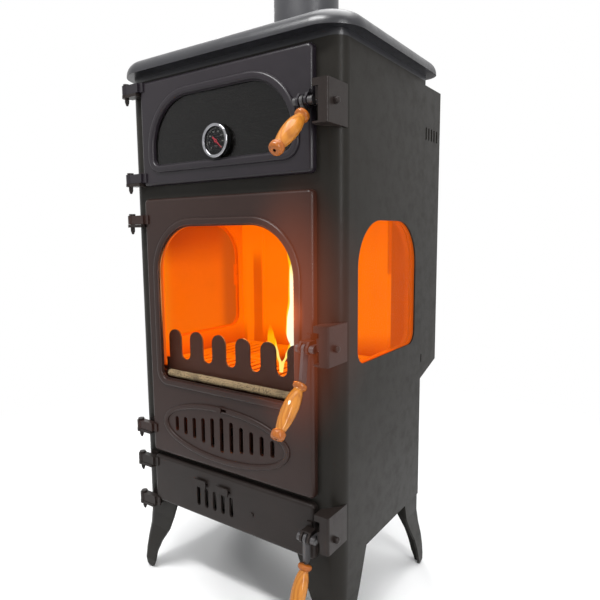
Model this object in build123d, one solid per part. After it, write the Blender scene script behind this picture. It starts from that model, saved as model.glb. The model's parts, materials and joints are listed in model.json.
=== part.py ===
from build123d import *
from math import cos, sin, radians
import os

os.makedirs("parts", exist_ok=True)

# Freestanding pellet stove with a small oven above the fire.
# Millimetres, +Z up, the doors face -Y. While modelling, y = 0 is the front face of the doors and
# z = 0 is the floor. The whole stove is moved along Y once, just before it is written.

# Body
body_half = 233.5
body_front = 13.5
body_back = 326.0
body_foot = 156.0
body_top = 975.0
corner_r = 23.0
sheet = 3.0
seat = 0.3

# Doors, all three the same width and depth
door_half = body_half - 43.5
door_depth = body_front - 0.5
door_sheet = 3.0
door_gap = 9.5
oven_z = (body_top - 193.0, body_top - 6.6)
fire_z = (body_foot + 110.5, oven_z[0] - 24.2)
ash_z = (body_foot + 6.0, fire_z[0] - door_gap)
door_round = 6.0
bead_h = 5.0
bead_wide = 13.0

# Door windows: half width, bottom, top, upper corner radius, lower corner radius
window_half = door_half - 36.0
window_top_r = 86.0
window_low_r = 14.0
oven_win = (oven_z[0] + 36.0, oven_z[1] - 37.4)
fire_win = (fire_z[0] + 153.5, fire_z[1] - 51.8)
glass_t = 4.0
glass_lap = 10.0

# Openings in the front of the body behind each door: half width, bottom, top
oven_mouth = (door_half - 30.0, oven_z[0] + 18.0, oven_z[1] - 18.4)
fire_mouth = (door_half - 19.0, fire_z[0] + 23.5, fire_z[1] - 22.8)
ash_mouth = (door_half - 25.0, ash_z[0] + 14.0, ash_z[1] - 13.0)

# Side windows: y from, y to, z from, z to
side_win = (body_front + 51.0, body_back - 33.0, fire_win[0] + 59.5, fire_win[1] + 6.3)
side_top_r = 78.0
side_low_r = 24.0

# Hinges on the left: axis and the lower face of each door knuckle
hinge_x = -door_half - 36.0
hinge_y = 0.0
pin_r = 4.0
run_gap = 0.08
knuckle_r = 8.2
knuckle_h = 16.5
leaf_x = hinge_x + 15.0
oven_knuckles = (oven_z[0] + 6.5, oven_z[1] - 16.9)
fire_knuckles = (fire_z[0] + 38.5, fire_z[1] - 46.3)
ash_knuckles = (ash_z[0] - 10.0, ash_z[1] - 21.5)
ear_t = 5.3
ear_gap = 0.5

# Latches on the right. The pivot runs along X.
pivot_y = -17.0
crank_r = 12.0
finger_r = 4.5
keep_in = door_half + 17.5
keep_out = body_half
keep_front = body_front - 39.0
keep_tall = 61.5
keep_bend = 4.0
catch_y = (pivot_y, pivot_y + crank_r - finger_r - 0.3)
finger_end = keep_in + 9.0
lever_wide = 14.0
latch_ear_t = 4.0
latch_ear_x = (door_half - 12.0, door_half + 2.0)
lever_x = (door_half - 5.5, door_half - 0.5)
grip_x = (lever_x[0] + lever_x[1]) / 2
grip_len = 92.0
# pivot height, elbow from the pivot (y, z), grip slope below level in degrees
upper_latch = (oven_z[0] + 99.0, (5.0, -13.5), 40.4)
middle_latch = (fire_z[0] + 250.5, (-6.9, -47.0), 46.4)
lower_latch = (ash_z[0] + 48.0, (0.4, -36.0), 62.8)

# Top plate and flue
plate_half = body_half + 18.5
plate_y = (body_front - 23.0, body_back + 30.0)
plate_low = body_top + 10.5
plate_t = 27.0
plate_top = plate_low + plate_t
plate_edge = 26.5
plate_front_r = 61.0
plate_back_r = 30.0
plate_wall = 8.0
flue_y = body_back - 55.0
flue_r = 65.0
flue_wall = 1.2
flue_top = 1200.0
collar_h = 38.0
collar_r = 71.0
collar_sunk = 1.0

# Firebox
floor_z = fire_z[0] - 4.5
floor_t = 4.0
liner_x = (body_half - 23.5, body_half - 15.5)
liner_back = (body_back - 22.0, body_back - 14.0)
liner_top = oven_mouth[1] - 44.3
grate_z = (fire_win[0] + 5.0, fire_win[0] + 17.0)
pot_half = 64.0
pot_y = (liner_back[0] - 153.0, liner_back[0] - 35.0)
pot_deep = 45.0

# Rear hopper, its chute and the lid
chute_half = 40.0
chute_lip = grate_z[1] + 19.0
chute_slack = 1.5
case_half = body_half - 1.5
case_back = body_back + 84.0
case_top = body_top - 6.0
case_low_back = chute_lip - 31.3
case_low_front = case_low_back - 27.4
case_t = 2.0
bin_half = case_half - 27.0
bin_y = (body_back, case_back - 6.0)
bin_wall = 1.6
bin_top = case_top - 14.0
bin_foot = chute_lip + 104.0
bin_neck = bin_foot + 80.0
lid_y = (plate_y[1] + 2.5, case_back - 6.0)
lid_axis = (case_back - 10.0, case_top - 5.5)
lid_half = case_half - 6.0

# Thermometer in the oven door
gauge_x = 2.0
gauge_z = oven_win[0] + 28.0
gauge_r = 26.5

# Air slots
oval_a = window_half - 3.5
oval_b = 53.0
oval_ring = 11.0
oval_h = 3.5
oval_x = -6.0
oval_z = fire_z[0] + 66.9
oval_pitch = (oval_a - 36.0) / 5
oval_slot_x = oval_x - 0.5
oval_lengths = (29.0, 34.5, 40.0, 47.0, 55.0, 64.5, 57.0, 47.5, 41.0, 35.0, 29.5)
oval_slot_w = 9.0
ash_slot_x = -28.5
ash_pitch = 20.4
ash_slot_z = (ash_z[0] + 22.0, ash_z[0] + 59.0)
ash_slot_w = 9.0
tab_x = (ash_slot_x - 32.5, ash_slot_x + 22.5)
tab_z = ash_z[0] + 68.0

pieces = {}


def block(x, y, z):
    """A box from three (low, high) pairs."""
    size = (x[1] - x[0], y[1] - y[0], z[1] - z[0])
    middle = Pos((x[0] + x[1]) / 2, (y[0] + y[1]) / 2, (z[0] + z[1]) / 2)
    return middle * Box(*size)


def front_plate(sketch, y0, y1):
    """A sketch drawn in X and Z, made solid from y0 to y1."""
    return extrude(Plane.XZ.offset(-y1) * sketch, amount=y1 - y0)


def side_plate(sketch, x0, x1):
    """A sketch drawn in Y and Z, made solid from x0 to x1."""
    return extrude(Plane.YZ.offset(x0) * sketch, amount=x1 - x0)


def flat_plate(sketch, z0, z1):
    """A sketch drawn in X and Y, made solid from z0 to z1."""
    return extrude(Plane.XY.offset(z0) * sketch, amount=z1 - z0)


def arched(wide, high, top_r, low_r, grow=0.0):
    """A rectangle with large upper and small lower corners, grown evenly by grow."""
    shape = Rectangle(wide + 2 * grow, high + 2 * grow)
    shape = fillet(shape.vertices().sort_by(Axis.Y)[-2:], top_r + grow)
    shape = fillet(shape.vertices().sort_by(Axis.Y)[:2], max(low_r + grow, 1.0))
    return shape


def rod(start, end, radius):
    """A round bar between two points."""
    a = Vector(*start)
    b = Vector(*end)
    way = Plane(origin=a, z_dir=b - a)
    return extrude(way * Circle(radius), amount=(b - a).length)


def x_rod(x0, x1, y, z, radius):
    return rod((x0, y, z), (x1, y, z), radius)


def y_rod(x, y0, y1, z, radius):
    return rod((x, y0, z), (x, y1, z), radius)


def z_rod(x, y, z0, z1, radius):
    return rod((x, y, z0), (x, y, z1), radius)


def body_outline(grow=0.0):
    wide = 2 * (body_half + grow)
    deep = body_back - body_front + 2 * grow
    shape = Pos(0, (body_front + body_back) / 2) * Rectangle(wide, deep)
    return fillet(shape.vertices().sort_by(Axis.Y)[:2], corner_r + grow)


def window(span, grow=0.0):
    z0, z1 = span
    shape = arched(2 * window_half, z1 - z0, window_top_r, window_low_r, grow)
    return Pos(0, (z0 + z1) / 2) * shape


def side_window(grow=0.0):
    y0, y1, z0, z1 = side_win
    shape = arched(y1 - y0, z1 - z0, side_top_r, side_low_r, grow)
    return Pos((y0 + y1) / 2, (z0 + z1) / 2) * shape


def inner_outline(gap=seat):
    """The plan of a level plate that fits inside the body shell."""
    return body_outline(-sheet - gap)


def framed(wide, z0, z1, radius):
    return Pos(0, (z0 + z1) / 2) * RectangleRounded(wide, z1 - z0, radius)


# Body shell: one sheet bent round both front corners
outer = flat_plate(body_outline(), body_foot, body_top)
core = flat_plate(body_outline(-sheet), body_foot - 1, body_top + 1)
core += block((-body_half + sheet, body_half - sheet), (body_back - 10, body_back + 10),
              (body_foot - 1, body_top + 1))
shell = outer - core
for half, low, high in (oven_mouth, fire_mouth, ash_mouth):
    shell -= front_plate(framed(2 * half, low, high, 8.0), body_front - 2, body_front + sheet + 2)
for side in (-1, 1):
    x0 = side * body_half - 6
    shell -= side_plate(side_window(), x0, x0 + 12)
pieces["body_shell"] = shell

hole_half = chute_half + chute_slack
chute_hole = block((-hole_half, hole_half), (body_back - 10, body_back + 5),
                   (chute_lip + 28.0, chute_lip + 87.0))
inner_half = body_half - sheet - seat
pieces["rear_panel"] = block((-inner_half, inner_half), (body_back - sheet, body_back),
                             (body_foot + seat, body_top - seat)) - chute_hole

# Bottom plate with two runners for the ash drawer
runner_top = ash_mouth[1] + 2.0
base = flat_plate(inner_outline(), body_foot, body_foot + 4)
for side in (-1, 1):
    x = side * (ash_mouth[0] - 40.0)
    base += block((x - 6, x + 6), (body_front + 10.5, body_back - 30.0), (body_foot + 3, runner_top))
pieces["bottom_plate"] = base

# Ash drawer, open at the top, with a bar pull at its front
drawer_half = ash_mouth[0] - 10.0
drawer_y = (body_front + 8.5, body_back - 36.0)
drawer_top = ash_mouth[2] - 4.0
drawer_t = 2.0
pull_r = 2.6
pull_z = ash_z[0] + 50.0
drawer = block((-drawer_half, drawer_half), drawer_y, (runner_top + seat, drawer_top))
drawer -= block((-drawer_half + drawer_t, drawer_half - drawer_t),
                (drawer_y[0] + drawer_t, drawer_y[1] - drawer_t),
                (runner_top + seat + drawer_t, drawer_top + 10))
drawer += x_rod(-32.0, 32.0, drawer_y[0] - 6.0, pull_z, pull_r)
for x in (-28.0, 28.0):
    drawer += y_rod(x, drawer_y[0] - 6.0, drawer_y[0] + 1.0, pull_z, pull_r)
pieces["ash_drawer"] = drawer

# Top plate: a hollow casting with a fully rounded edge, on a rim that stands on the body
plate_mid = (plate_y[0] + plate_y[1]) / 2
plate_deep = plate_y[1] - plate_y[0]
plan = Pos(0, plate_mid) * arched(2 * plate_half, plate_deep, plate_back_r, plate_front_r)
top = flat_plate(plan, plate_low, plate_top)
top = fillet(top.faces().sort_by(Axis.Z)[-1].edges(), plate_edge)
top += flat_plate(body_outline(), body_top, plate_low + 1)
hollow = flat_plate(body_outline(-plate_wall), body_top - 1, plate_top - plate_wall)
hollow -= z_rod(0, flue_y, body_top - 2, plate_top, flue_r + 3)
top -= hollow
top -= z_rod(0, flue_y, plate_top - collar_sunk, plate_top + 5, collar_r + seat)
top -= z_rod(0, flue_y, body_top - 1, plate_top + 5, flue_r - 5)
pieces["top_plate"] = top

collar = z_rod(0, flue_y, plate_top - collar_sunk, plate_top + 5, collar_r)
collar += z_rod(0, flue_y, plate_top, plate_top + collar_h, flue_r + 3)
collar -= z_rod(0, flue_y, plate_top + 5, plate_top + collar_h + 1, flue_r + seat)
collar -= z_rod(0, flue_y, plate_top - collar_sunk - 1, plate_top + 6, flue_r - 5)
pieces["flue_collar"] = collar

pipe = z_rod(0, flue_y, plate_top + 5, flue_top, flue_r)
pipe -= z_rod(0, flue_y, plate_top + 4, flue_top + 1, flue_r - flue_wall)
pieces["flue_pipe"] = pipe


# Legs: an angle that follows the body corner, narrows downwards and kicks out at the foot
def leg_section(z, arm, out_x, out_y, r, thick=5.0):
    cx = -body_half - out_x
    cy = body_front - out_y
    k = r * (1 - 0.70711)
    ri = r - thick
    ki = thick + ri * (1 - 0.70711)
    with BuildSketch(Plane.XY.offset(z)) as leg:
        with BuildLine():
            a = Line((cx + arm, cy), (cx + r, cy))
            b = ThreePointArc(a @ 1, (cx + k, cy + k), (cx, cy + r))
            c = Line(b @ 1, (cx, cy + arm))
            d = Line(c @ 1, (cx + thick, cy + arm))
            e = Line(d @ 1, (cx + thick, cy + r))
            f = ThreePointArc(e @ 1, (cx + ki, cy + ki), (cx + r, cy + thick))
            g = Line(f @ 1, (cx + arm, cy + thick))
            Line(g @ 1, a @ 0)
        make_face()
    return leg.sketch


# height as a share of the leg, width of each side, kick to the side and to the front or back, corner radius
front_table = (
    (1.0, 86.5, 0.0, 0.0, corner_r),
    (0.79, 74.0, 0.0, 0.0, corner_r - 2.0),
    (0.60, 62.0, 1.0, 1.5, corner_r - 5.0),
    (0.42, 46.5, 3.9, 5.9, corner_r - 8.0),
    (0.26, 36.0, 5.7, 8.6, corner_r - 11.0),
    (0.12, 32.0, 6.7, 10.1, corner_r - 13.0),
    (0.04, 24.0, 5.6, 8.4, corner_r - 14.0),
    (0.0, 16.0, 3.5, 5.2, corner_r - 15.0),
)
rear_table = (
    (1.0, 64.0, 0.0, 0.0, 6.5),
    (0.79, 55.0, 0.0, 0.0, 6.5),
    (0.60, 45.5, 2.1, 5.6, 6.5),
    (0.42, 36.5, 5.1, 13.4, 6.5),
    (0.26, 30.5, 6.8, 17.6, 6.5),
    (0.12, 26.0, 7.5, 19.6, 6.5),
    (0.04, 20.0, 7.3, 19.3, 6.5),
    (0.0, 14.0, 5.5, 16.0, 6.5),
)


def make_leg(table):
    leg = loft([leg_section(body_foot * row[0], *row[1:]) for row in table], ruled=True)
    r = table[0][4]
    mid = r * (1 - 0.70711) + 2.5
    flange = [(4, r), (mid, mid), (r, 4), (60, 4), (60, 60), (4, 60)]
    points = [(-body_half + x, body_front + y) for x, y in flange]
    leg += flat_plate(make_face(Polyline(*points, close=True)), body_foot - 4, body_foot)
    for x, y in ((45.0, 22.5), (25.5, 45.0)):
        leg += z_rod(-body_half + x, body_front + y, body_foot - 8, body_foot - 3, 5.0)
    return leg


middle_y = (body_front + body_back) / 2
leg = make_leg(front_table)
rear_leg = mirror(make_leg(rear_table), about=Plane.XZ.offset(-middle_y))
pieces["leg_front_left"] = leg
pieces["leg_front_right"] = mirror(leg, about=Plane.YZ)
pieces["leg_rear_left"] = rear_leg
pieces["leg_rear_right"] = mirror(rear_leg, about=Plane.YZ)

# Side glass, its frame with studs and clips, and the firebox liners
glass_x = body_half - sheet - seat
frame_x = glass_x - glass_t - seat
win_y = (side_win[0] + side_win[1]) / 2
win_z = (side_win[2] + side_win[3]) / 2
stud_out = 13.5
stud_z = (win_z - 35.9, win_z + 44.1)
stud_spots = ((side_win[0] - stud_out, stud_z[0]), (side_win[0] - stud_out, stud_z[1]),
              (side_win[1] + stud_out, stud_z[0]), (side_win[1] + stud_out, stud_z[1]),
              (win_y, side_win[2] - stud_out), (win_y, side_win[3] + stud_out))
side_glass = side_plate(side_window(9.0), glass_x - glass_t, glass_x)
glass_frame = side_plate(side_window(18.0) - side_window(1.0), frame_x - 3, frame_x)
for y, z in stud_spots:
    glass_frame += x_rod(frame_x - 5, body_half - sheet, y, z, 3.0)
for y in (side_win[0] - 5, side_win[1] + 2):
    clip = block((frame_x - 5.5, frame_x - 2.9), (y - 10, y + 10), (win_z - 25, win_z + 25))
    glass_frame += clip - x_rod(frame_x - 9, frame_x - 2.9, y, win_z, 3.2)
inner_back = body_back - sheet - seat
right_liner = block(liner_x, (body_front + 6.5, inner_back), (floor_z + floor_t, liner_top))
right_liner -= side_plate(side_window(4.0), liner_x[0] - 1, liner_x[1] + 1)
right_liner += block((liner_x[0] - 12, liner_x[0] + 1), (body_front + 16.5, body_back - 26.0),
                     (grate_z[0] - 6, grate_z[0] - seat))
pieces["right_side_glass"] = side_glass
pieces["left_side_glass"] = mirror(side_glass, about=Plane.YZ)
pieces["right_glass_frame"] = glass_frame
pieces["left_glass_frame"] = mirror(glass_frame, about=Plane.YZ)
pieces["right_liner"] = right_liner
pieces["left_liner"] = mirror(right_liner, about=Plane.YZ)

back_half = liner_x[0] - seat
back_liner = block((-back_half, back_half), liner_back, (floor_z + floor_t, liner_top))
back_liner -= block((-hole_half, hole_half), (liner_back[0] - 5, liner_back[1] + 5),
                    (chute_lip + 18.0, chute_lip + 80.0))
for side in (-1, 1):
    x = side * (back_half - 51.7)
    back_liner += block((x - 14, x + 14), (liner_back[0] - 3, liner_back[0] + 1),
                        (grate_z[1] + 8.0, liner_top - 15.7))
pieces["back_liner"] = back_liner

baffle_y = body_front + 58.5
baffle_t = 4.0
baffle_top = liner_top + seat + baffle_t
baffle = block((-liner_x[1], liner_x[1]), (baffle_y, inner_back), (liner_top + seat, baffle_top))
baffle += block((-liner_x[1], liner_x[1]), (baffle_y, baffle_y + baffle_t), (baffle_top - 1, baffle_top + 16))
pieces["smoke_baffle"] = baffle

deck = flat_plate(inner_outline(), floor_z, floor_z + floor_t)
deck -= block((-liner_x[0] + 70, liner_x[0] - 70), (body_front + 31.5, body_back - 41.0),
              (floor_z - 1, floor_z + floor_t + 1))
pieces["firebox_floor"] = deck

# Fire grate with long slots and a seat for the burner pot
grate = block((-liner_x[0] + 1, liner_x[0] - 1), (body_front + 18.5, liner_back[0] - 1), grate_z)
grate -= block((-pot_half - 2, pot_half + 2), (pot_y[0] - 2, pot_y[1] + 2), (grate_z[0] - 1, grate_z[1] + 1))
slot_front = SlotOverall(92.0, 9.0, rotation=90)
slot_back = SlotOverall(116.0, 9.0, rotation=90)
slot_pitch = (liner_x[0] - 25.5) / 9
for n in range(-9, 10):
    x = n * slot_pitch
    grate -= flat_plate(Pos(x, pot_y[0] - 58.0) * slot_front, grate_z[0] - 1, grate_z[1] + 1)
    if abs(x) > pot_half + 12:
        grate -= flat_plate(Pos(x, pot_y[1] - 49.0) * slot_back, grate_z[0] - 1, grate_z[1] + 1)
pieces["fire_grate"] = grate

rim_z = grate_z[1] + seat
pot_wall = 5.0
pot_floor = grate_z[0] - pot_deep
pot = block((-pot_half, pot_half), pot_y, (pot_floor, rim_z + 4))
pot += block((-pot_half - 8, pot_half + 8), (pot_y[0] - 8, pot_y[1] + 8), (rim_z, rim_z + 4))
pot -= block((-pot_half + pot_wall, pot_half - pot_wall), (pot_y[0] + pot_wall, pot_y[1] - pot_wall),
             (pot_floor + pot_wall + 1, rim_z + 5))
air_pitch = 22.0
for i in range(5):
    for j in range(4):
        pot -= z_rod((i - 2) * air_pitch, pot_y[0] + 26.0 + j * air_pitch, pot_floor - 1,
                     pot_floor + pot_wall + 2, 4.0)
pieces["burner_pot"] = pot

# Oven box with two rails, and the rack on them
oven_deep = body_back - 36.0
oven_half, oven_low, oven_high = oven_mouth
box = block((-oven_half - 3, oven_half + 3), (body_front + sheet + seat, oven_deep + 3),
            (oven_low - 3, oven_high + 3))
box -= block((-oven_half, oven_half), (0.0, oven_deep), (oven_low, oven_high))
rail_z = oven_low + 67.0
for side in (-1, 1):
    x = side * (oven_half - 5)
    box += block((x - 5.5, x + 5.5), (body_front + 10.5, oven_deep - 6), (rail_z - 3, rail_z))
pieces["oven_box"] = box

bar_r = 3.0
wire_r = 2.0
rack_z = rail_z + seat + bar_r
rack_half = oven_half - 2.5
rack_y = (body_front + 16.5, oven_deep - 10.0)
rack = x_rod(-rack_half, rack_half, rack_y[0], rack_z, bar_r)
rack += x_rod(-rack_half, rack_half, rack_y[1], rack_z, bar_r)
for side in (-1, 1):
    rack += y_rod(side * (rack_half - 3.5), rack_y[0], rack_y[1], rack_z, bar_r - 0.5)
wire_pitch = (oven_half - 28.0) / 6
for n in range(-6, 7):
    rack += y_rod(n * wire_pitch, rack_y[0], rack_y[1], rack_z, wire_r)
pieces["oven_rack"] = rack

# Hopper casing on the back, with vent slots near the top of each side
wall_low = [(body_back, case_low_front), (case_back, case_low_back), (case_back, case_top),
            (body_back, case_top)]
wall_in = [(body_back - 5, case_low_front + 0.4), (case_back - case_t, case_low_back + case_t),
           (case_back - case_t, case_top - case_t), (body_back - 5, case_top - case_t)]
casing = side_plate(make_face(Polyline(*wall_low, close=True)), -case_half, case_half)
casing -= side_plate(make_face(Polyline(*wall_in, close=True)), -case_half + case_t, case_half - case_t)
casing -= block((-lid_half - 1.5, lid_half + 1.5), (lid_y[0] - 1.5, case_back - case_t),
                (case_top - case_t - 1, case_top + 1))
vent_pitch = 13.7
for n in range(5):
    vent = Pos(body_back + 11.5 + vent_pitch * n, case_top - 88.0) * SlotOverall(24.0, 5.6, rotation=90)
    casing -= side_plate(vent, -case_half - 2, case_half + 2)
low_vent = Pos(body_back + 6.5, case_low_front + 43.2) * SlotOverall(17.0, 4.0, rotation=90)
casing -= side_plate(low_vent, -case_half - 2, case_half + 2)
pieces["hopper_casing"] = casing

# Pellet bin inside the casing, and the sloping chute down to the burner pot
bin_mid = (bin_y[0] + bin_y[1]) / 2
bin_deep = bin_y[1] - bin_y[0]


def funnel(inset):
    wide = Pos(0, bin_mid) * Rectangle(2 * (bin_half - inset), bin_deep - 2 * inset)
    neck = Pos(0, bin_mid) * Rectangle(2 * (chute_half - inset), bin_deep - 2 * inset)
    above = flat_plate(wide, bin_neck, bin_top + inset)
    below = loft([Plane.XY.offset(bin_foot) * neck, Plane.XY.offset(bin_neck) * wide], ruled=True)
    return above + below


pellet_bin = funnel(0.0) - funnel(bin_wall)
pellet_bin -= block((-chute_half + bin_wall, chute_half - bin_wall),
                    (bin_y[0] + bin_wall, bin_y[1] - bin_wall), (bin_foot - 5, bin_foot + 5))
pieces["hopper_bin"] = pellet_bin

chute_y = pot_y[1] - 7.0
chute_top = bin_foot - seat
chute_out = [(bin_y[1], chute_top), (bin_y[1], chute_lip + 74.0), (chute_y, chute_lip),
             (chute_y, chute_lip + 44.0), (bin_y[0], chute_lip + 82.0), (bin_y[0] + 1.0, chute_top)]
chute_in = [(bin_y[1] - bin_wall, chute_top + 5), (bin_y[1] - bin_wall, chute_lip + 75.4),
            (chute_y - 7.0, chute_lip - 1.4), (chute_y - 7.0, chute_lip + 37.6),
            (bin_y[0] + 2.2, chute_lip + 80.0), (bin_y[0] + 2.6, chute_top + 5)]
chute = side_plate(make_face(Polyline(*chute_out, close=True)), -chute_half, chute_half)
chute -= side_plate(make_face(Polyline(*chute_in, close=True)), -chute_half + bin_wall, chute_half - bin_wall)
pieces["pellet_chute"] = chute

# Hopper lid: a flat lid on a rod along its rear edge
rod_r = 2.5
lid = block((-lid_half, lid_half), lid_y, (case_top - 3, case_top))
for side in (-1, 1):
    x = side * (lid_half - 76.0)
    lid += x_rod(x - 30, x + 30, lid_axis[0], lid_axis[1], 5.0)
lid += block((-40.0, 40.0), (lid_y[0], lid_y[0] + 3), (case_top - 1, case_top + 5))
lid -= x_rod(-lid_half, lid_half, lid_axis[0], lid_axis[1], rod_r + run_gap)
pieces["hopper_lid"] = lid
rod_half = case_half - case_t
pieces["lid_hinge_rod"] = x_rod(-rod_half, rod_half, lid_axis[0], lid_axis[1], rod_r)


# Hinges: door knuckles with an arm, and body brackets that carry the pins
def knuckle(z):
    part = z_rod(hinge_x, hinge_y, z, z + knuckle_h, knuckle_r)
    part += block((hinge_x, -door_half + 1.5), (-6.0, 7.0), (z, z + knuckle_h))
    part += block((-door_half - 2, -door_half + 12), (-2.5, 0.5), (z, z + knuckle_h))
    return part


def knuckle_bore(z):
    return z_rod(hinge_x, hinge_y, z - 1, z + knuckle_h + 1, pin_r + run_gap)


def bracket(z):
    ear_top = z - ear_gap
    ear_low = ear_top - ear_t
    part = z_rod(hinge_x, hinge_y, ear_low, ear_top, knuckle_r + 0.4)
    part += block((hinge_x, -door_half - 2.5), (-7.0, body_front - seat), (ear_low, ear_top))
    leaf_low = max(ear_low, body_foot)
    part += block((leaf_x, -door_half - 2.5), (body_front - 3, body_front), (leaf_low, ear_top + 22))
    if ear_low < body_foot:
        part += block((leaf_x, -door_half - 2.5), (body_front - 3, body_front - seat), (ear_low, leaf_low))
    head = z + knuckle_h + 0.4
    part += z_rod(hinge_x, hinge_y, ear_low - 7, head + 1, pin_r)
    part += z_rod(hinge_x, hinge_y, head, head + 3, 6.0)
    part += Pos(hinge_x, hinge_y, ear_low - 10) * Cone(1.8, pin_r, 6.0)
    return part


pieces["oven_hinge_brackets"] = Compound([bracket(z) for z in oven_knuckles])
pieces["fire_hinge_brackets"] = Compound([bracket(z) for z in fire_knuckles])
pieces["ash_hinge_brackets"] = Compound([bracket(z) for z in ash_knuckles])


# Keepers: a folded sheet on the right corner, with a catch block that holds the finger of the latch
def keeper(pivot, drop, bolt, closed):
    low = pivot - drop
    high = low + keep_tall
    part = block((keep_out - sheet, keep_out), (keep_front, body_front + 17.5), (low, high))
    part += block((keep_in + 10, keep_out), (keep_front, keep_front + sheet), (low, high))
    bend = part.edges().filter_by(Axis.Z).sort_by(lambda edge: edge.center().X - edge.center().Y)[-1]
    part = fillet(bend, keep_bend)
    part += block((keep_in, keep_in + 11), (keep_front, keep_front + sheet), (high - 10.5, high))
    web = [(keep_in, keep_front), (keep_out - keep_bend, keep_front), (keep_out, keep_front + keep_bend),
           (keep_out, body_front + 11.5), (keep_in, body_front - 18.5)]
    face = make_face(Polyline(*web, close=True))
    part += flat_plate(face, high - sheet, high)
    if closed:
        part += flat_plate(face, low, low + sheet)
    part += block((keep_in + 0.5, keep_out - 1), catch_y, (pivot, pivot + 18))
    part -= flat_plate(body_outline(), low - 1, high + 1)
    bolt_y = body_front - 19.4
    head = x_rod(keep_out - 0.5, keep_out + 8, bolt_y, pivot + bolt, 5.3)
    part += fillet(head.faces().sort_by(Axis.X)[-1].edges(), 3.8)
    nut = Pos(bolt_y, pivot + bolt) * RegularPolygon(5.5, 6)
    part += side_plate(nut, keep_out - sheet - 4, keep_out - sheet + 0.5)
    return part


pieces["upper_keeper"] = keeper(upper_latch[0], 35.0, -3.0, True)
pieces["middle_keeper"] = keeper(middle_latch[0], 23.0, 3.4, True)
pieces["lower_keeper"] = keeper(lower_latch[0], 11.5, 7.5, False)


# Latch bracket on each door: a flange on the door, a level web above the pivot, and two ears
def latch_ears(z):
    part = block((latch_ear_x[0], door_half - 2), (-3.0, 0.5), (z - 6, z + 20))
    part += block((latch_ear_x[0], latch_ear_x[1] + latch_ear_t), (pivot_y - 1, -2.5), (z + 8.8, z + 11.6))
    ear = [(-2.5, z - 6), (pivot_y + 3, z - 7.4), (pivot_y - 5, z + 6), (pivot_y - 1, z + 11.6), (-2.5, z + 11.6)]
    face = make_face(Polyline(*ear, close=True))
    for x in latch_ear_x:
        part += x_rod(x, x + latch_ear_t, pivot_y, z, 8.0)
        part += side_plate(face, x, x + latch_ear_t)
    return part


def ear_bore(z):
    return x_rod(latch_ear_x[0] - 1, latch_ear_x[1] + latch_ear_t + 1, pivot_y, z, pin_r + run_gap)


def slot_bar(p, q, wide):
    """A flat bar with round ends from p to q, drawn in Y and Z."""
    a = Vector(p[0], p[1])
    b = Vector(q[0], q[1])
    mid = (a + b) * 0.5
    turn = (b - a).get_angle(Vector(1, 0, 0))
    if b.Y < a.Y:
        turn = -turn
    return Pos(mid.X, mid.Y) * Rot(0, 0, turn) * SlotCenterToCenter((b - a).length, wide)


def latch(height, elbow, slope):
    """The steel lever and the turned wooden grip of one latch."""
    way = (-cos(radians(slope)), -sin(radians(slope)))
    pivot = (pivot_y, height)
    bend = (pivot_y + elbow[0], height + elbow[1])
    start = (bend[0] + 7.3 * way[0], bend[1] + 7.3 * way[1])
    tip = (start[0] + 40 * way[0], start[1] + 40 * way[1])
    crank_x = (latch_ear_x[1] + latch_ear_t + 1, latch_ear_x[1] + latch_ear_t + 6)
    lever = x_rod(latch_ear_x[0] - 5, crank_x[1], pivot_y, height, pin_r)
    lever += x_rod(latch_ear_x[0] - 6, latch_ear_x[0] - 0.4, pivot_y, height, 6.5)
    lever += x_rod(lever_x[0], lever_x[1], pivot_y, height, 8.0)
    lever += side_plate(slot_bar(pivot, bend, lever_wide), lever_x[0], lever_x[1])
    lever += rod((grip_x, bend[0], bend[1]), (grip_x, tip[0], tip[1]), 2.5)
    lever += side_plate(slot_bar(pivot, (pivot_y + crank_r, height), 12.0), crank_x[0], crank_x[1])
    lever += x_rod(crank_x[1] - 0.5, crank_x[1] + 3, pivot_y, height, 6.0)
    lever += x_rod(crank_x[1] - 1, finger_end, pivot_y + crank_r, height, finger_r)
    outline = [(0.0, 0.0), (10.5, 0.0), (11.5, 1.5), (11.5, 6.0), (10.0, 8.0), (7.6, 9.5), (7.4, 12.0)]
    outline += [(9.2, 15.0), (11.4, 24.0), (12.5, 38.0), (12.3, 52.0), (10.6, 66.0), (8.6, 74.0)]
    outline += [(8.2, 77.0), (10.4, 79.5), (11.0, 83.0), (10.6, 88.0), (8.0, grip_len), (0.0, grip_len)]
    with BuildSketch(Plane.XZ) as turned:
        with BuildLine():
            lower = Polyline(*outline[:7])
            barrel = Spline(*outline[6:14])
            upper = Polyline(*outline[13:])
            Line(outline[-1], outline[0])
        make_face()
    grip = revolve(turned.sketch, axis=Axis.Z)
    grip -= z_rod(0, 0, -1, 41.0, 2.8)
    grip -= z_rod(0, 0, grip_len - 4, grip_len + 1, 2.2)
    place = Plane(origin=(grip_x, start[0], start[1]), z_dir=(0, way[0], way[1]), x_dir=(1, 0, 0))
    return lever, place.location * grip


pieces["upper_latch_lever"], pieces["upper_latch_grip"] = latch(*upper_latch)
pieces["middle_latch_lever"], pieces["middle_latch_grip"] = latch(*middle_latch)
pieces["lower_latch_lever"], pieces["lower_latch_grip"] = latch(*lower_latch)


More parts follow.
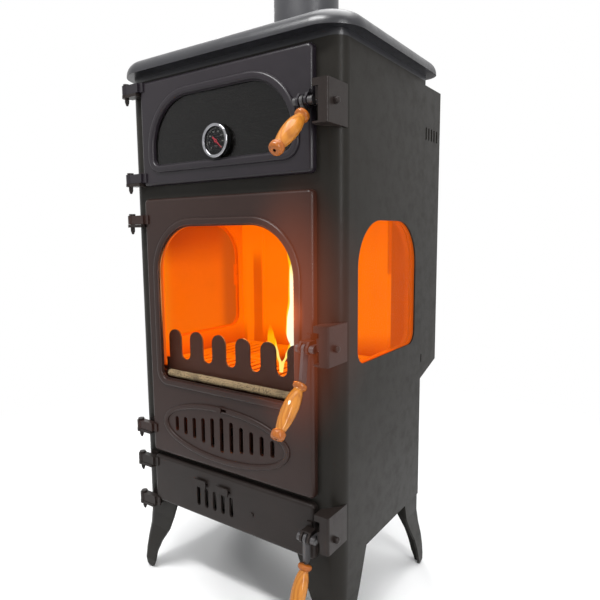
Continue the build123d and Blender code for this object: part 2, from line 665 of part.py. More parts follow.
# Doors: a pressed pan with a turned-in edge
def pan(span, knuckles, latch_z):
    z0, z1 = span
    part = front_plate(framed(2 * door_half, z0, z1, door_round + 2), 0.0, door_depth)
    part = fillet(part.faces().sort_by(Axis.Y)[0].edges(), door_round)
    inner = framed(2 * (door_half - door_sheet), z0 + door_sheet, z1 - door_sheet, door_round - 1)
    pocket = front_plate(inner, door_sheet, door_depth + 1)
    part -= fillet(pocket.faces().sort_by(Axis.Y)[0].edges(), 2.4)
    for z in knuckles:
        part += knuckle(z)
    part += latch_ears(latch_z)
    for z in knuckles:
        part -= knuckle_bore(z)
    part -= ear_bore(latch_z)
    part -= block((hinge_x, -door_half + 0.2), (door_depth - 6.5, door_depth + 9), (z0 - 20, z1 + 20))
    return part


def bead(span):
    ring = front_plate(window(span, bead_wide + 1.5) - window(span, 1.5), -bead_h, 0.5)
    return fillet(ring.faces().sort_by(Axis.Y)[0].edges(), 4.6)


def gasket(span):
    z0, z1 = span[0] + 5.5, span[1] - 5.5
    wide = 2 * (door_half - 5.5)
    ring = framed(wide, z0, z1, 10.0) - framed(wide - 16, z0 + 8, z1 - 8, 4.0)
    return front_plate(ring, door_sheet, body_front - seat)


def retainer(span, low_cut):
    ring = window(span, glass_lap) - window(span, 1.0)
    part = front_plate(ring, door_sheet + seat + glass_t + seat, door_sheet + seat + glass_t + seat + 2)
    y0 = door_sheet + seat + glass_t + seat
    mid = (max(span[0], low_cut) + span[1]) / 2
    for side in (-1, 1):
        for z in (mid - 0.22 * (span[1] - span[0]), mid + 0.1 * (span[1] - span[0])):
            x = side * (window_half + glass_lap + 6)
            inner_x = x - side * 22
            part += block((min(x, inner_x), max(x, inner_x)), (y0, y0 + 2), (z - 6, z + 6))
            part += y_rod(x, door_sheet, y0 + 2, z, 4.0)
    part -= front_plate(window(span, 1.0), y0 - 1, y0 + 3)
    if low_cut > span[0]:
        part -= block((-door_half, door_half), (0.0, 30.0), (span[0] - 60, low_cut))
    return part


# Oven door
oven_door = pan(oven_z, oven_knuckles, upper_latch[0])
oven_door += bead(oven_win)
oven_door -= front_plate(window(oven_win), -10.0, 20.0)
pieces["oven_door_panel"] = oven_door
glass_y = (door_sheet + seat, door_sheet + seat + glass_t)
oven_glass = front_plate(window(oven_win, glass_lap), glass_y[0], glass_y[1])
oven_glass -= y_rod(gauge_x, 0.0, 20.0, gauge_z, 4.3)
pieces["oven_door_glass"] = oven_glass
pieces["oven_glass_retainer"] = retainer(oven_win, 0.0)
pieces["oven_door_gasket"] = gasket(oven_z)

case = y_rod(gauge_x, -7.0, glass_y[0] - seat, gauge_z, gauge_r)
case -= y_rod(gauge_x, -8.0, -4.0, gauge_z, gauge_r - 3.0)
case += y_rod(gauge_x, -5.9, -3.5, gauge_z, 1.0)
case += y_rod(gauge_x, 2.0, 30.0, gauge_z, 3.5)
case += y_rod(gauge_x, glass_y[1] + 0.2, glass_y[1] + 3.2, gauge_z, 8.0)
pieces["thermometer_case"] = case
bezel = y_rod(gauge_x, -9.4, -1.5, gauge_z, gauge_r + 1.8)
bezel = fillet(bezel.faces().sort_by(Axis.Y)[0].edges(), 1.2)
bezel -= y_rod(gauge_x, -8.1, 0.0, gauge_z, gauge_r + 0.3)
bezel -= y_rod(gauge_x, -10.0, -7.0, gauge_z, gauge_r - 3.5)
pieces["thermometer_bezel"] = bezel
pieces["thermometer_lens"] = y_rod(gauge_x, -7.9, -7.1, gauge_z, gauge_r)
pointer_turn = -44.0
needle = Polygon((-9.0, -1.3), (18.0, -0.3), (18.0, 0.3), (-9.0, 1.3), align=None)
hand = front_plate(Pos(gauge_x, gauge_z) * Rot(0, 0, pointer_turn) * (needle + Circle(2.8)), -5.4, -4.8)
hand -= y_rod(gauge_x, -7.0, -4.0, gauge_z, 1.06)
pieces["thermometer_pointer"] = hand

# Fire door with an oval of air slots
fire_door = pan(fire_z, fire_knuckles, middle_latch[0])
fire_door += bead(fire_win)
oval = Pos(oval_x, oval_z) * (Ellipse(oval_a, oval_b) - Ellipse(oval_a - oval_ring, oval_b - oval_ring))
fire_door += fillet(front_plate(oval, -oval_h, 0.5).faces().sort_by(Axis.Y)[0].edges(), 3.0)
fire_door -= front_plate(window(fire_win), -10.0, 20.0)


def oval_slots():
    marks = Sketch()
    for n, length in enumerate(oval_lengths):
        x = oval_slot_x + (n - 5) * oval_pitch
        marks += Pos(x, oval_z) * SlotOverall(length, oval_slot_w, rotation=90)
    return marks


air_step = oval_pitch / 2
knob_x = oval_x - 1.5
knob_z = oval_z + oval_b - 5
fire_door -= front_plate(oval_slots(), -10.0, 10.0)
fire_door -= block((knob_x - 4.5, knob_x + 4.5 + air_step), (-10.0, 10.0), (knob_z - 2.5, knob_z + 2.5))
rail_x = (oval_x - oval_a - 15.0, oval_x + oval_a + 15.0)
shutter_z = (oval_z - 34.0, oval_z + 36.0)
for z0, z1 in ((shutter_z[0] - 6.0, shutter_z[0] - seat), (shutter_z[1] + seat, shutter_z[1] + 6.0)):
    lip = (z0, z1 + 3) if z0 < oval_z else (z0 - 3, z1)
    rail = block(rail_x, (door_sheet - 0.5, door_sheet + 4.4), (z0, z1))
    rail += block(rail_x, (door_sheet + 2.6, door_sheet + 4.4), lip)
    if z0 > oval_z:
        rail -= block((knob_x - 12.0, knob_x + 12.0 + air_step), (door_sheet, 20.0), (z0 - 5, z1 + 5))
    fire_door += rail
pieces["fire_door_panel"] = fire_door
pieces["fire_door_glass"] = front_plate(window(fire_win, glass_lap), glass_y[0], glass_y[1])
pieces["fire_glass_retainer"] = retainer(fire_win, fire_win[0] + 24.0)
pieces["fire_door_gasket"] = gasket(fire_z)

shutter = block((oval_x - oval_a + 5, oval_x + oval_a - 5), (door_sheet + seat, door_sheet + 2.3), shutter_z)
shutter += block((knob_x - 8, knob_x + 8), (door_sheet + seat, door_sheet + 2.3), (shutter_z[1] - 1, knob_z + 4))
shutter -= front_plate(oval_slots(), 0.0, 10.0)
shutter += block((knob_x - 3.5, knob_x + 3.5), (-5.0, door_sheet + 1), (knob_z - 1.8, knob_z + 1.8))
shutter += block((knob_x - 5, knob_x + 5), (-6.0, -4.2), (knob_z - 4.5, knob_z + 4.5))
pieces["air_shutter"] = shutter

# Log comb, and the glass rope it holds against the foot of the glass
comb_y = door_sheet + 19.5
tooth_half = 16.3
tooth_pitch = (window_half - 12.0) / 2.5
tooth_mid = -1.5
comb_x = (-window_half - 14.0, window_half + 10.0)
comb_low = fire_win[0] - 15.0
comb_gap = fire_win[0] + 34.0
comb_top = fire_win[0] + 90.0
gap_half = tooth_pitch / 2 - tooth_half
comb = block(comb_x, (comb_y, comb_y + 3), (comb_low, comb_gap))
teeth = Sketch()
for n in range(6):
    x = tooth_mid + (n - 2.5) * tooth_pitch
    root = comb_gap - 5
    teeth += Pos(x, comb_top - tooth_half) * Circle(tooth_half)
    teeth += Pos(x, (root + comb_top - tooth_half) / 2) * Rectangle(2 * tooth_half, comb_top - tooth_half - root)
comb += front_plate(teeth, comb_y, comb_y + 3)
for n in range(-2, 3):
    x = tooth_mid + n * tooth_pitch
    foot = Pos(x, comb_gap + gap_half / 2) * Rectangle(2 * gap_half + 1, gap_half)
    foot -= Pos(x, comb_gap + gap_half) * Circle(gap_half)
    comb += front_plate(foot, comb_y, comb_y + 3)
comb += block((-window_half, window_half), (door_sheet, comb_y + 1), (comb_low, comb_low + 2.5))
pieces["log_comb"] = comb
rope_r = 7.4
rope_half = window_half - 1.5
rope_z = fire_win[0] + 6.0
pieces["glass_rope"] = x_rod(-rope_half, rope_half, glass_y[1] + 0.2 + rope_r, rope_z, rope_r)

# Ash door with five air slots and a sliding plate with two tabs
ash_door = pan(ash_z, ash_knuckles, lower_latch[0])


def ash_slots():
    marks = Sketch()
    mid = (ash_slot_z[0] + ash_slot_z[1]) / 2
    for n in range(-2, 3):
        slot = SlotOverall(ash_slot_z[1] - ash_slot_z[0], ash_slot_w, rotation=90)
        marks += Pos(ash_slot_x + n * ash_pitch, mid) * slot
    return marks


ash_step = ash_pitch / 2
ash_door -= front_plate(ash_slots(), -5.0, 8.0)
for x in tab_x:
    ash_door -= block((x - 5.5, x + 5.5 + ash_step), (-5.0, 8.0), (tab_z - 2.2, tab_z + 2.2))
slide_z = (ash_z[0] + 16.0, ash_z[0] + 74.0)
slide_x = (ash_slot_x - 63.5, ash_slot_x + 61.5)
slide_rail = (slide_x[0] - 13.0, slide_x[1] + 27.0)
for z0, z1 in ((ash_z[0] + 13.8, slide_z[0] - seat), (slide_z[1] + seat, slide_z[1] + 3.5)):
    lip = (z0, z1 + 3) if z0 < slide_z[0] else (z0 - 3, z1)
    ash_door += block(slide_rail, (door_sheet - 0.5, door_sheet + 4.4), (z0, z1))
    ash_door += block(slide_rail, (door_sheet + 2.6, door_sheet + 4.4), lip)
ash_door += y_rod(slide_rail[1], -2.0, 0.5, ash_z[0] + 41.0, 4.0)
pieces["ash_door_panel"] = ash_door
pieces["ash_door_gasket"] = gasket(ash_z)
slide = block(slide_x, (door_sheet + seat, door_sheet + 2.3), slide_z)
slide -= front_plate(ash_slots(), 0.0, 10.0)
for x in tab_x:
    slide += block((x - 5, x + 5), (-4.0, door_sheet + 1), (tab_z - 1.6, tab_z + 1.6))
    slide += block((x - 14, x + 14), (-5.0, -2.6), (tab_z - 7, tab_z + 7))
pieces["ash_air_slide"] = slide

# Centre the stove front to back over the origin and write every piece
whole = Compound([shape for shape in pieces.values()])
span = whole.bounding_box()
shift = -(span.min.Y + span.max.Y) / 2
for name, shape in pieces.items():
    export_step(Pos(0, shift, 0) * shape, f"parts/{name}.step")
print(len(pieces), "pieces, shift", round(shift, 4), "floor", round(span.min.Z, 4))
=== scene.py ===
import json
import math

import bmesh
import bpy
from mathutils import Matrix, Vector, noise


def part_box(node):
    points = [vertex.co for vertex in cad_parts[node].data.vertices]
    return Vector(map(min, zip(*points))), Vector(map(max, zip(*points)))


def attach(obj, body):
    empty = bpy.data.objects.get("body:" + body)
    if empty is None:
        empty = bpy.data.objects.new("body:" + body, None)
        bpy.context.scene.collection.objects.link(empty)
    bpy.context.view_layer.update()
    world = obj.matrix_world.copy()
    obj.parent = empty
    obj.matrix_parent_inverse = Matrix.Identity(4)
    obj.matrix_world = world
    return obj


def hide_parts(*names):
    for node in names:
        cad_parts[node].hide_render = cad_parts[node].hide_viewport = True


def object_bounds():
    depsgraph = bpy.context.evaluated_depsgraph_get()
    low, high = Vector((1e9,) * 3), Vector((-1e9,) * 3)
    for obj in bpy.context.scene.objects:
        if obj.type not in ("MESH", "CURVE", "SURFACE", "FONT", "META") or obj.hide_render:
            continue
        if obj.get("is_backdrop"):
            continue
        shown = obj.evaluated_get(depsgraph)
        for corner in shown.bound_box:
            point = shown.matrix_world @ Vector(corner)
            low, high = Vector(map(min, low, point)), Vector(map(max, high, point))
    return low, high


# A black pellet stove with an oven, alight, standing on a pale floor.

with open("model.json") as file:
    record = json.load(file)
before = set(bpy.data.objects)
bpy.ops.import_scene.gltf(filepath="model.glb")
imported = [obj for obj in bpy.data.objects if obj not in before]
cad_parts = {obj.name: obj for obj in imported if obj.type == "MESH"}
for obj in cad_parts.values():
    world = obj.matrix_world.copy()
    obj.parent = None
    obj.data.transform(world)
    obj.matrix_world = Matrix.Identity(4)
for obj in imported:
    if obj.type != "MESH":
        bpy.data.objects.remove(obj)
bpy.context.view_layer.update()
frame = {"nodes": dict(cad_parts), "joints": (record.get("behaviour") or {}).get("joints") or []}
nodes = frame["nodes"]

# Sizes are in millimetres and measured from the front face of the doors, as on the drawing.
MM = 0.001
GLASS_BEHIND_FACE = 3.3
DOOR_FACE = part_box("fire_door_glass")[0].y - GLASS_BEHIND_FACE * MM


def at(x, y, z):
    """A point of the drawing, in metres in the model's frame."""
    return Vector((x * MM, y * MM + DOOR_FACE, z * MM))


def linear(code):
    """A colour written as six hex digits, as linear light with alpha."""
    parts = [int(code[i:i + 2], 16) / 255 for i in (0, 2, 4)]
    light = [c / 12.92 if c <= 0.04045 else ((c + 0.055) / 1.055) ** 2.4 for c in parts]
    return (*light, 1.0)


def fire(red, green, blue=0.0):
    """The colour of firelight, as linear light with alpha."""
    return (red, green, blue, 1.0)


def scaled(colour, share):
    """A colour made darker or lighter by one factor."""
    return (*(share * part for part in colour[:3]), 1.0)


def link(name, data):
    """A new object of the scene that shows this data."""
    thing = bpy.data.objects.new(name, data)
    bpy.context.scene.collection.objects.link(thing)
    return thing


# Node trees


class Wire:
    """An output in a node tree. Arithmetic on it adds Math nodes to the tree."""

    def __init__(self, graph, socket):
        self.graph = graph
        self.socket = socket

    def math(self, operation, *terms):
        return self.graph.add("ShaderNodeMath", {"operation": operation}, dict(enumerate(terms)))

    def __add__(self, other):
        return self.math("ADD", self, other)

    def __radd__(self, other):
        return self.math("ADD", other, self)

    def __sub__(self, other):
        return self.math("SUBTRACT", self, other)

    def __rsub__(self, other):
        return self.math("SUBTRACT", other, self)

    def __mul__(self, other):
        return self.math("MULTIPLY", self, other)

    def __rmul__(self, other):
        return self.math("MULTIPLY", other, self)

    def __truediv__(self, other):
        return self.math("DIVIDE", self, other)

    def __rtruediv__(self, other):
        return self.math("DIVIDE", other, self)

    def __mod__(self, other):
        return self.math("FLOORED_MODULO", self, other)

    def __gt__(self, other):
        return self.math("GREATER_THAN", self, other)

    def __lt__(self, other):
        return self.math("LESS_THAN", self, other)

    def sin(self):
        return self.math("SINE", self)

    def cos(self):
        return self.math("COSINE", self)

    def abs(self):
        return self.math("ABSOLUTE", self)

    def fade(self, low, high):
        """0 below low and 1 above high, with a smooth change between."""
        sockets = {0: self, 1: low, 2: high, 3: 0.0, 4: 1.0}
        return self.graph.add("ShaderNodeMapRange", {"interpolation_type": "SMOOTHSTEP"}, sockets)


class Graph:
    """A node tree that is filled by calls."""

    def __init__(self, tree):
        self.tree = tree

    def add(self, kind, setup=None, sockets=None, out=0):
        """A node of this type, its settings set before the values or links of its sockets."""
        node = self.tree.nodes.new(kind)
        for key, value in (setup or {}).items():
            if key == "stops":
                self.set_stops(node.color_ramp, value)
            else:
                setattr(node, key, value)
        for key, value in (sockets or {}).items():
            self.feed(node.inputs[key], value)
        self.last = node
        return Wire(self, node.outputs[out]) if node.outputs else node

    def feed(self, socket, value):
        if isinstance(value, Wire):
            self.tree.links.new(value.socket, socket)
        elif value is not None:
            socket.default_value = value

    def set_stops(self, ramp, stops):
        while len(ramp.elements) > 1:
            ramp.elements.remove(ramp.elements[-1])
        ramp.elements[0].position, ramp.elements[0].color = stops[0]
        for position, colour in stops[1:]:
            ramp.elements.new(position).color = colour

    def also(self, out):
        """Another output of the node that was added last."""
        return Wire(self, self.last.outputs[out])

    def vector(self, operation, *terms, out=0):
        return self.add("ShaderNodeVectorMath", {"operation": operation}, dict(enumerate(terms)), out)

    def scale(self, vector, factor):
        """A vector made longer or shorter."""
        return self.vector("SCALE", vector, None, None, factor)

    def length(self, x, y, z):
        return self.vector("LENGTH", self.join(x, y, z), out=1)

    def spread(self, wire):
        """The three parts of a vector."""
        first = self.add("ShaderNodeSeparateXYZ", None, {0: wire})
        return first, self.also(1), self.also(2)

    def join(self, x, y, z):
        return self.add("ShaderNodeCombineXYZ", None, {0: x, 1: y, 2: z})


class Finish(Graph):
    """A material, with its Object coordinates and its shader."""

    def __init__(self, name):
        self.material = bpy.data.materials.new(name)
        self.material.use_nodes = True
        super().__init__(self.material.node_tree)
        self.tree.nodes.clear()
        self.add("ShaderNodeTexCoord")
        self.place = self.also("Object")

    def drawn(self):
        """x, y and z of the surface on the drawing, in millimetres."""
        x, y, z = self.spread(self.place)
        return x / MM, (y - DOOR_FACE) / MM, z / MM

    def mix(self, factor, first, second):
        """Two colours mixed."""
        return self.add("ShaderNodeMix", {"data_type": "RGBA"}, {0: factor, 6: first, 7: second}, out=2)

    def noise(self, scale, detail=2.0, rough=0.5, place=None, stretch=None, out=0):
        place = place or self.place
        if stretch:
            place = self.add("ShaderNodeMapping", None, {"Vector": place, "Scale": stretch})
        sockets = {"Vector": place, "Scale": scale, "Detail": detail, "Roughness": rough}
        return self.add("ShaderNodeTexNoise", None, sockets, out)

    def ramp(self, factor, stops):
        return self.add("ShaderNodeValToRGB", {"stops": stops}, {0: factor})

    def bump(self, height, strength, deep, under=None):
        """A normal from a height between 0 and 1 that stands for deep millimetres."""
        sockets = {"Height": height, "Strength": strength, "Distance": deep * MM, "Normal": under}
        return self.add("ShaderNodeBump", None, sockets)

    def shader(self, **sockets):
        """The Principled shader. An underscore in a name stands for a space."""
        values = {key.replace("_", " "): value for key, value in sockets.items()}
        return self.add("ShaderNodeBsdfPrincipled", None, values)

    def done(self, surface):
        self.add("ShaderNodeOutputMaterial", None, {0: surface})
        return self.material


# Finishes


def stove_paint(name, dark, light, rough, gloss, grain=0.25, glow=None):
    """Matte heat-resistant paint: a fine grain, cloudy tone and a little handling sheen."""
    m = Finish(name)
    cloud = m.noise(5.0, 5.0, 0.6).fade(0.3, 0.7)
    speck = m.noise(1400.0, 2.0, 0.6).fade(0.62, 0.8)
    tone = m.mix(cloud, linear(dark), linear(light))
    tone = m.mix(speck * 0.25, tone, scaled(linear(light), 3.0))
    worn = m.noise(38.0, 4.0, 0.7).fade(0.35, 0.75)
    normal = m.bump(m.noise(900.0, 3.0, 0.7), grain, 0.4)
    normal = m.bump(m.noise(22.0, 2.0), 0.03, 0.8, normal)
    sockets = {"Base_Color": tone, "Roughness": rough + 0.12 * worn - 0.06, "Specular_IOR_Level": gloss,
               "Normal": normal}
    if glow:
        sockets["Emission_Color"] = glow(m)
        sockets["Emission_Strength"] = 1.0
    return m.done(m.shader(**sockets))


def metal(name, colour, rough, brush=None):
    """Bare metal. brush is the stretch of its grinding marks."""
    m = Finish(name)
    marks = m.noise(60.0, 6.0, 0.7, stretch=brush)
    tone = m.mix(marks.fade(0.3, 0.75) * 0.35, linear(colour), scaled(linear(colour), 0.45))
    normal = m.bump(m.noise(500.0, 2.0, stretch=brush), 0.15, 0.3)
    roughness = rough + 0.25 * (marks - 0.5)
    return m.done(m.shader(Base_Color=tone, Metallic=1.0, Roughness=roughness, Normal=normal))


def lit_wall(name, base, stops, low, high, patch, extra=None):
    """A wall of the firebox in the light of the fire, whose colour changes from low up to high."""
    m = Finish(name)
    x, y, z = m.drawn()
    level = (z - low) / (high - low) + (m.noise(7.0, 3.0) - 0.5) * patch
    glow = m.ramp(level, stops)
    if extra:
        glow = extra(m, glow)
    grain = m.noise(180.0, 4.0, 0.7)
    tone = m.mix(grain, base, scaled(base, 0.5))
    return m.done(m.shader(Base_Color=tone, Roughness=0.85, Specular_IOR_Level=0.05, Emission_Color=glow,
                           Emission_Strength=1.0, Normal=m.bump(grain, 0.5, 1.0)))


def clear_glass(name, tint, alpha, gloss, rough=0.03, glow=None, strength=0.0):
    """Glass with a faint uneven film. alpha is how much of the view the film covers."""
    m = Finish(name)
    haze = m.noise(9.0, 4.0, 0.6).fade(0.45, 0.8)
    wipe = m.noise(26.0, 3.0, 0.6, stretch=(1.0, 1.0, 0.25))
    sockets = {"Base_Color": tint, "Roughness": rough + 0.05 * wipe, "Alpha": alpha + 0.06 * haze * wipe,
               "IOR": 1.5, "Specular_IOR_Level": gloss}
    if glow:
        sockets["Emission_Color"] = glow(m)
        sockets["Emission_Strength"] = strength
    return m.done(m.shader(**sockets))


# The grip's rings, which are darker than its waist, and the screw hole in its end, whose walls get painted
# shade, along its own length
FOOT_RING_END = (8.5, 10.5)
HEAD_RING_START = (76.5, 78.5)
SCREW_HOLE_FLOOR = (85.0, 87.0)
SCREW_HOLE_RADIUS = 2.4


def turned_wood(name):
    """Lacquered wood. Its grain follows the piece's own 'turned' attribute, length along Z."""
    m = Finish(name)
    local = m.add("ShaderNodeAttribute", {"attribute_name": "turned"}, None, out=1)
    across, sideways, along = m.spread(local)
    height = along / MM
    bend = m.scale(m.noise(30.0, 2.0, place=local, out=1), 0.004)
    x, y, z = m.spread(m.vector("ADD", local, bend))
    heart = m.vector("ADD", m.join(x, y, z * 0.12), (0.011, 0.004, 0.0))
    rings = m.add("ShaderNodeTexWave", {"wave_type": "RINGS", "rings_direction": "Z"},
                  {"Vector": heart, "Scale": 95.0, "Distortion": 3.0, "Detail": 3.0, "Detail Scale": 1.2})
    pores = m.noise(900.0, 2.0, 0.6, place=m.join(x, y, z * 0.05))
    tone = m.ramp(rings, [(0.0, linear("b07027")), (0.6, linear("a96a23")), (1.0, linear("9d5e1d"))])
    tone = m.mix(pores.fade(0.55, 0.75) * 0.25, tone, linear("7c4614"))
    ring = (1.0 - height.fade(*FOOT_RING_END)) + height.fade(*HEAD_RING_START)
    tone = m.mix(ring * 0.7, tone, linear("8a4413"))
    # Painted shade on the walls of the screw hole.
    hole = (m.length(across, sideways, 0.0) < SCREW_HOLE_RADIUS * MM) * height.fade(*SCREW_HOLE_FLOOR)
    tone = m.mix(hole, tone, linear("1c0a05"))
    return m.done(m.shader(Base_Color=tone, Roughness=0.4 + 0.1 * pores, Specular_IOR_Level=0.1,
                           Coat_Weight=0.45, Coat_Roughness=0.04, Normal=m.bump(pores, 0.12, 0.2)))


def rope_fibre(name, dark, light, pitch=None):
    """Fibre. pitch is the size in millimetres of the dark specks of painted shade between the strands of a
    braid.
    """
    m = Finish(name)
    fibre = m.noise(1500.0, 3.0, 0.7)
    soot = m.noise(25.0, 4.0, 0.6)
    tone = m.mix(fibre, linear(dark), linear(light))
    if pitch:
        # Dark specks of painted shade between the strands.
        speck = m.noise(1.0 / (pitch * MM), 2.0, 0.6, stretch=(1.0, 1.0, 1.4))
        tone = m.mix(speck.fade(0.5, 0.62) * 0.7, tone, linear("33281e"))
    tone = m.mix(soot.fade(0.5, 0.8) * 0.6, tone, linear("3a3024"))
    return m.done(m.shader(Base_Color=tone, Roughness=0.9, Normal=m.bump(fibre, 0.6, 0.5)))


# Paint and metal

WINDOW_EDGE_X, WINDOW_MIDDLE_Z = 155.0, 565.0
NEAR_GLOW, WIDE_GLOW = 22.0, 120.0


def window_glow(strength):
    """The fire's light on the paint beside the window, fading with the distance from its right edge."""

    def glow(m):
        x, y, z = m.drawn()
        away = m.length(x - WINDOW_EDGE_X, y * 0.6, (z - WINDOW_MIDDLE_Z) * 0.5)
        light = (1.0 - away.fade(0.0, NEAR_GLOW)) * 0.35 + (1.0 - away.fade(0.0, WIDE_GLOW)) * 0.2
        return m.scale((strength, strength * 0.19, strength * 0.05), light)

    return glow


body_paint = stove_paint("black stove paint", "1f1d1a", "22201d", rough=0.4, gloss=0.1, grain=0.08,
                         glow=window_glow(0.7))
door_paint = stove_paint("black door paint", "251713", "2a1b17", rough=0.36, gloss=0.24, grain=0.04,
                         glow=window_glow(1.0))
hardware_paint = stove_paint("dark hardware paint", "211c1a", "282220", rough=0.38, gloss=0.15, grain=0.2,
                             glow=window_glow(1.0))
lever_steel = stove_paint("grey lever steel", "312f30", "403e3f", rough=0.34, gloss=0.5, grain=0.2,
                          glow=window_glow(0.7))
oven_paint = stove_paint("black oven door paint", "19151a", "1e191e", rough=0.36, gloss=0.3, grain=0.04)
plate_paint = stove_paint("black plate paint", "141418", "19191e", rough=0.34, gloss=0.5)
# The pipe's paint is lighter than the body's: partly its own grey, partly painted light from above.
pipe_paint_with_top_light = stove_paint("grey pipe paint", "242427", "2f2f33", rough=0.42, gloss=0.5, grain=0.15)
comb_iron = stove_paint("comb casting", "33190f", "402114", rough=0.6, gloss=0.25, grain=0.6)
floor_iron = stove_paint("dark firebox floor", "17120f", "221a16", rough=0.8, gloss=0.2, grain=0.5)
oven_enamel = stove_paint("oven enamel", "1b1a1a", "232120", rough=0.3, gloss=0.5, grain=0.1)
dial_black = stove_paint("dial black", "0c0c0e", "101012", rough=0.5, gloss=0.1, grain=0.0)
dial_white = stove_paint("dial markings", "6c6c69", "787874", rough=0.5, gloss=0.2, grain=0.0)
pointer_red = stove_paint("pointer red", "8e1524", "a51c2b", rough=0.4, gloss=0.4, grain=0.02)
bare_steel = metal("plain sheet steel", "8a8782", rough=0.42, brush=(1.0, 1.0, 12.0))
chrome = metal("polished chrome", "9c9ca0", rough=0.1)
rack_steel = metal("oven rack wire", "7d7a75", rough=0.3)
wood = turned_wood("lacquered turned wood")
rope = rope_fibre("braided glass fibre", "8a765a", "b8a27a", pitch=2.8)
gasket_rope = rope_fibre("door rope", "2c2926", "4a4540")

# Walls of the firebox

FIRE_BRICK = (0.16, 0.025, 0.002, 1.0)
SOOTY_STEEL = (0.1, 0.03, 0.01, 1.0)
DARK = fire(0.006, 0.002, 0.001)
SIDE_LIGHT = [(0.0, DARK), (0.06, fire(0.6, 0.06)), (0.2, fire(0.97, 0.16)), (0.55, fire(0.95, 0.14)),
              (0.8, fire(0.85, 0.105)), (1.0, fire(0.55, 0.045))]
BACK_LIGHT = [(0.0, DARK), (0.05, fire(0.6, 0.06)), (0.16, fire(0.97, 0.18)), (0.55, fire(0.97, 0.175)),
              (0.8, fire(0.92, 0.13)), (1.0, fire(0.6, 0.05))]
GRATE_LIGHT = [(0.0, DARK), (0.35, fire(0.35, 0.03)), (0.6, fire(0.75, 0.1)), (1.0, fire(1.0, 0.2))]
BAFFLE_LIGHT = [(0.0, fire(0.4, 0.03)), (1.0, DARK)]
FRAME_LIGHT = [(0.0, fire(0.85, 0.09)), (0.5, fire(0.8, 0.09)), (1.0, fire(0.6, 0.05))]
EDGE_LIGHT = [(0.0, DARK), (0.5, fire(0.5, 0.06, 0.003)), (1.0, fire(0.62, 0.09, 0.006))]
DULL_RED = fire(0.5, 0.045)
BROWN_RED = fire(0.5, 0.08, 0.005)

# Where the light on the walls changes: each pair is where a change starts and where it ends.
REAR_SHADE_Y = (200.0, 240.0)
TOP_SHADE_Z, FRONT_SHADE_Y = (640.0, 710.0), (120.0, 280.0)
RIGHT_WALL_X = (190.0, 200.0)
STRIP_X, STRIP_HALF_WIDTH, STRIP_TOP_Z = -163.5, 13.5, (615.0, 665.0)
BAND_LEFT_X, BAND_RIGHT_X = (-202.0, -198.0), (-180.0, -178.0)
RED_LINE_X, RED_LINE_FOOT_Z, CORNER_X = (170.0, 171.5), (609.0, 611.0), (177.5, 179.0)
FRAME_REAR_Y = (294.5, 296.5)


def shaded_corner(m, glow):
    """Less light towards the front and the top, and behind the edges of the side windows."""
    x, y, z = m.drawn()
    high_and_front = z.fade(*TOP_SHADE_Z) * (1.0 - y.fade(*FRONT_SHADE_Y))
    glow = m.mix(high_and_front * 0.6, glow, DULL_RED)
    return m.mix(x.fade(*RIGHT_WALL_X) * y.fade(*REAR_SHADE_Y) * 0.9, glow, BROWN_RED)


def back_bands(m, glow):
    """Painted shade and light on the back liner: a shaded strip and a brighter band low on the left, a shaded
    red line, and shade at the right edge.
    """
    x, y, z = m.drawn()
    low = 1.0 - z.fade(*STRIP_TOP_Z)
    strip = (1.0 - (x - STRIP_X).abs().fade(STRIP_HALF_WIDTH - 1.0, STRIP_HALF_WIDTH + 1.0)) * low
    band = (1.0 - x.fade(*BAND_RIGHT_X)) * x.fade(*BAND_LEFT_X) * low
    red_line = x.fade(*RED_LINE_X) * z.fade(*RED_LINE_FOOT_Z)
    glow = m.mix(strip * 0.85, glow, fire(0.6, 0.075))
    glow = m.mix(band * 0.8, glow, fire(0.98, 0.19, 0.001))
    glow = m.mix(red_line * 0.85, glow, fire(0.62, 0.085))
    cloud = m.noise(9.0, 3.0, stretch=(1.0, 1.0, 0.4)).fade(0.35, 0.65)
    shade = m.mix(cloud, fire(0.46, 0.07, 0.003), fire(0.56, 0.11, 0.02))
    return m.mix(x.fade(*CORNER_X), glow, shade)


def frame_line(m, glow):
    """A red line of painted shade down the frame's rear edge, and painted shade on the right frame's rear
    half.
    """
    x, y, z = m.drawn()
    glow = m.mix(y.fade(*FRAME_REAR_Y) * 0.9, glow, fire(0.58, 0.055))
    return m.mix((x > 0.0) * y.fade(*REAR_SHADE_Y) * 0.9, glow, BROWN_RED)


liner_wall = lit_wall("fire-lit side liner", FIRE_BRICK, SIDE_LIGHT, low=420.0, high=760.0, patch=0.12,
                      extra=shaded_corner)
back_wall = lit_wall("fire-lit back liner", FIRE_BRICK, BACK_LIGHT, low=420.0, high=840.0, patch=0.12,
                     extra=back_bands)
frame_steel = lit_wall("fire-lit window frame", FIRE_BRICK, FRAME_LIGHT, low=450.0, high=740.0, patch=0.15,
                       extra=frame_line)
grate_iron = lit_wall("fire-lit grate", FIRE_BRICK, GRATE_LIGHT, low=432.0, high=438.2, patch=0.5)
pot_iron = lit_wall("glowing burner pot", FIRE_BRICK, GRATE_LIGHT, low=405.0, high=445.0, patch=0.3)
baffle_steel = lit_wall("fire-lit baffle", FIRE_BRICK, BAFFLE_LIGHT, low=755.7, high=762.0, patch=0.1)
retainer_steel = lit_wall("fire-lit glass retainer", SOOTY_STEEL, EDGE_LIGHT, low=430.0, high=470.0,
                          patch=0.05)

# Glass

PANE_FRONT_Y, PANE_FRONT_SHADE_Y = (70.0, 100.0), (70.0, 200.0)
PANE_TOP_Z, PANE_REAR_Y = (620.0, 700.0), (235.0, 268.0)
# The stops are heights in metres.
PANE_LIGHT = [(0.5, fire(1.0, 0.15)), (0.62, fire(0.98, 0.135)), (0.68, fire(0.68, 0.07)), (0.72, DULL_RED)]


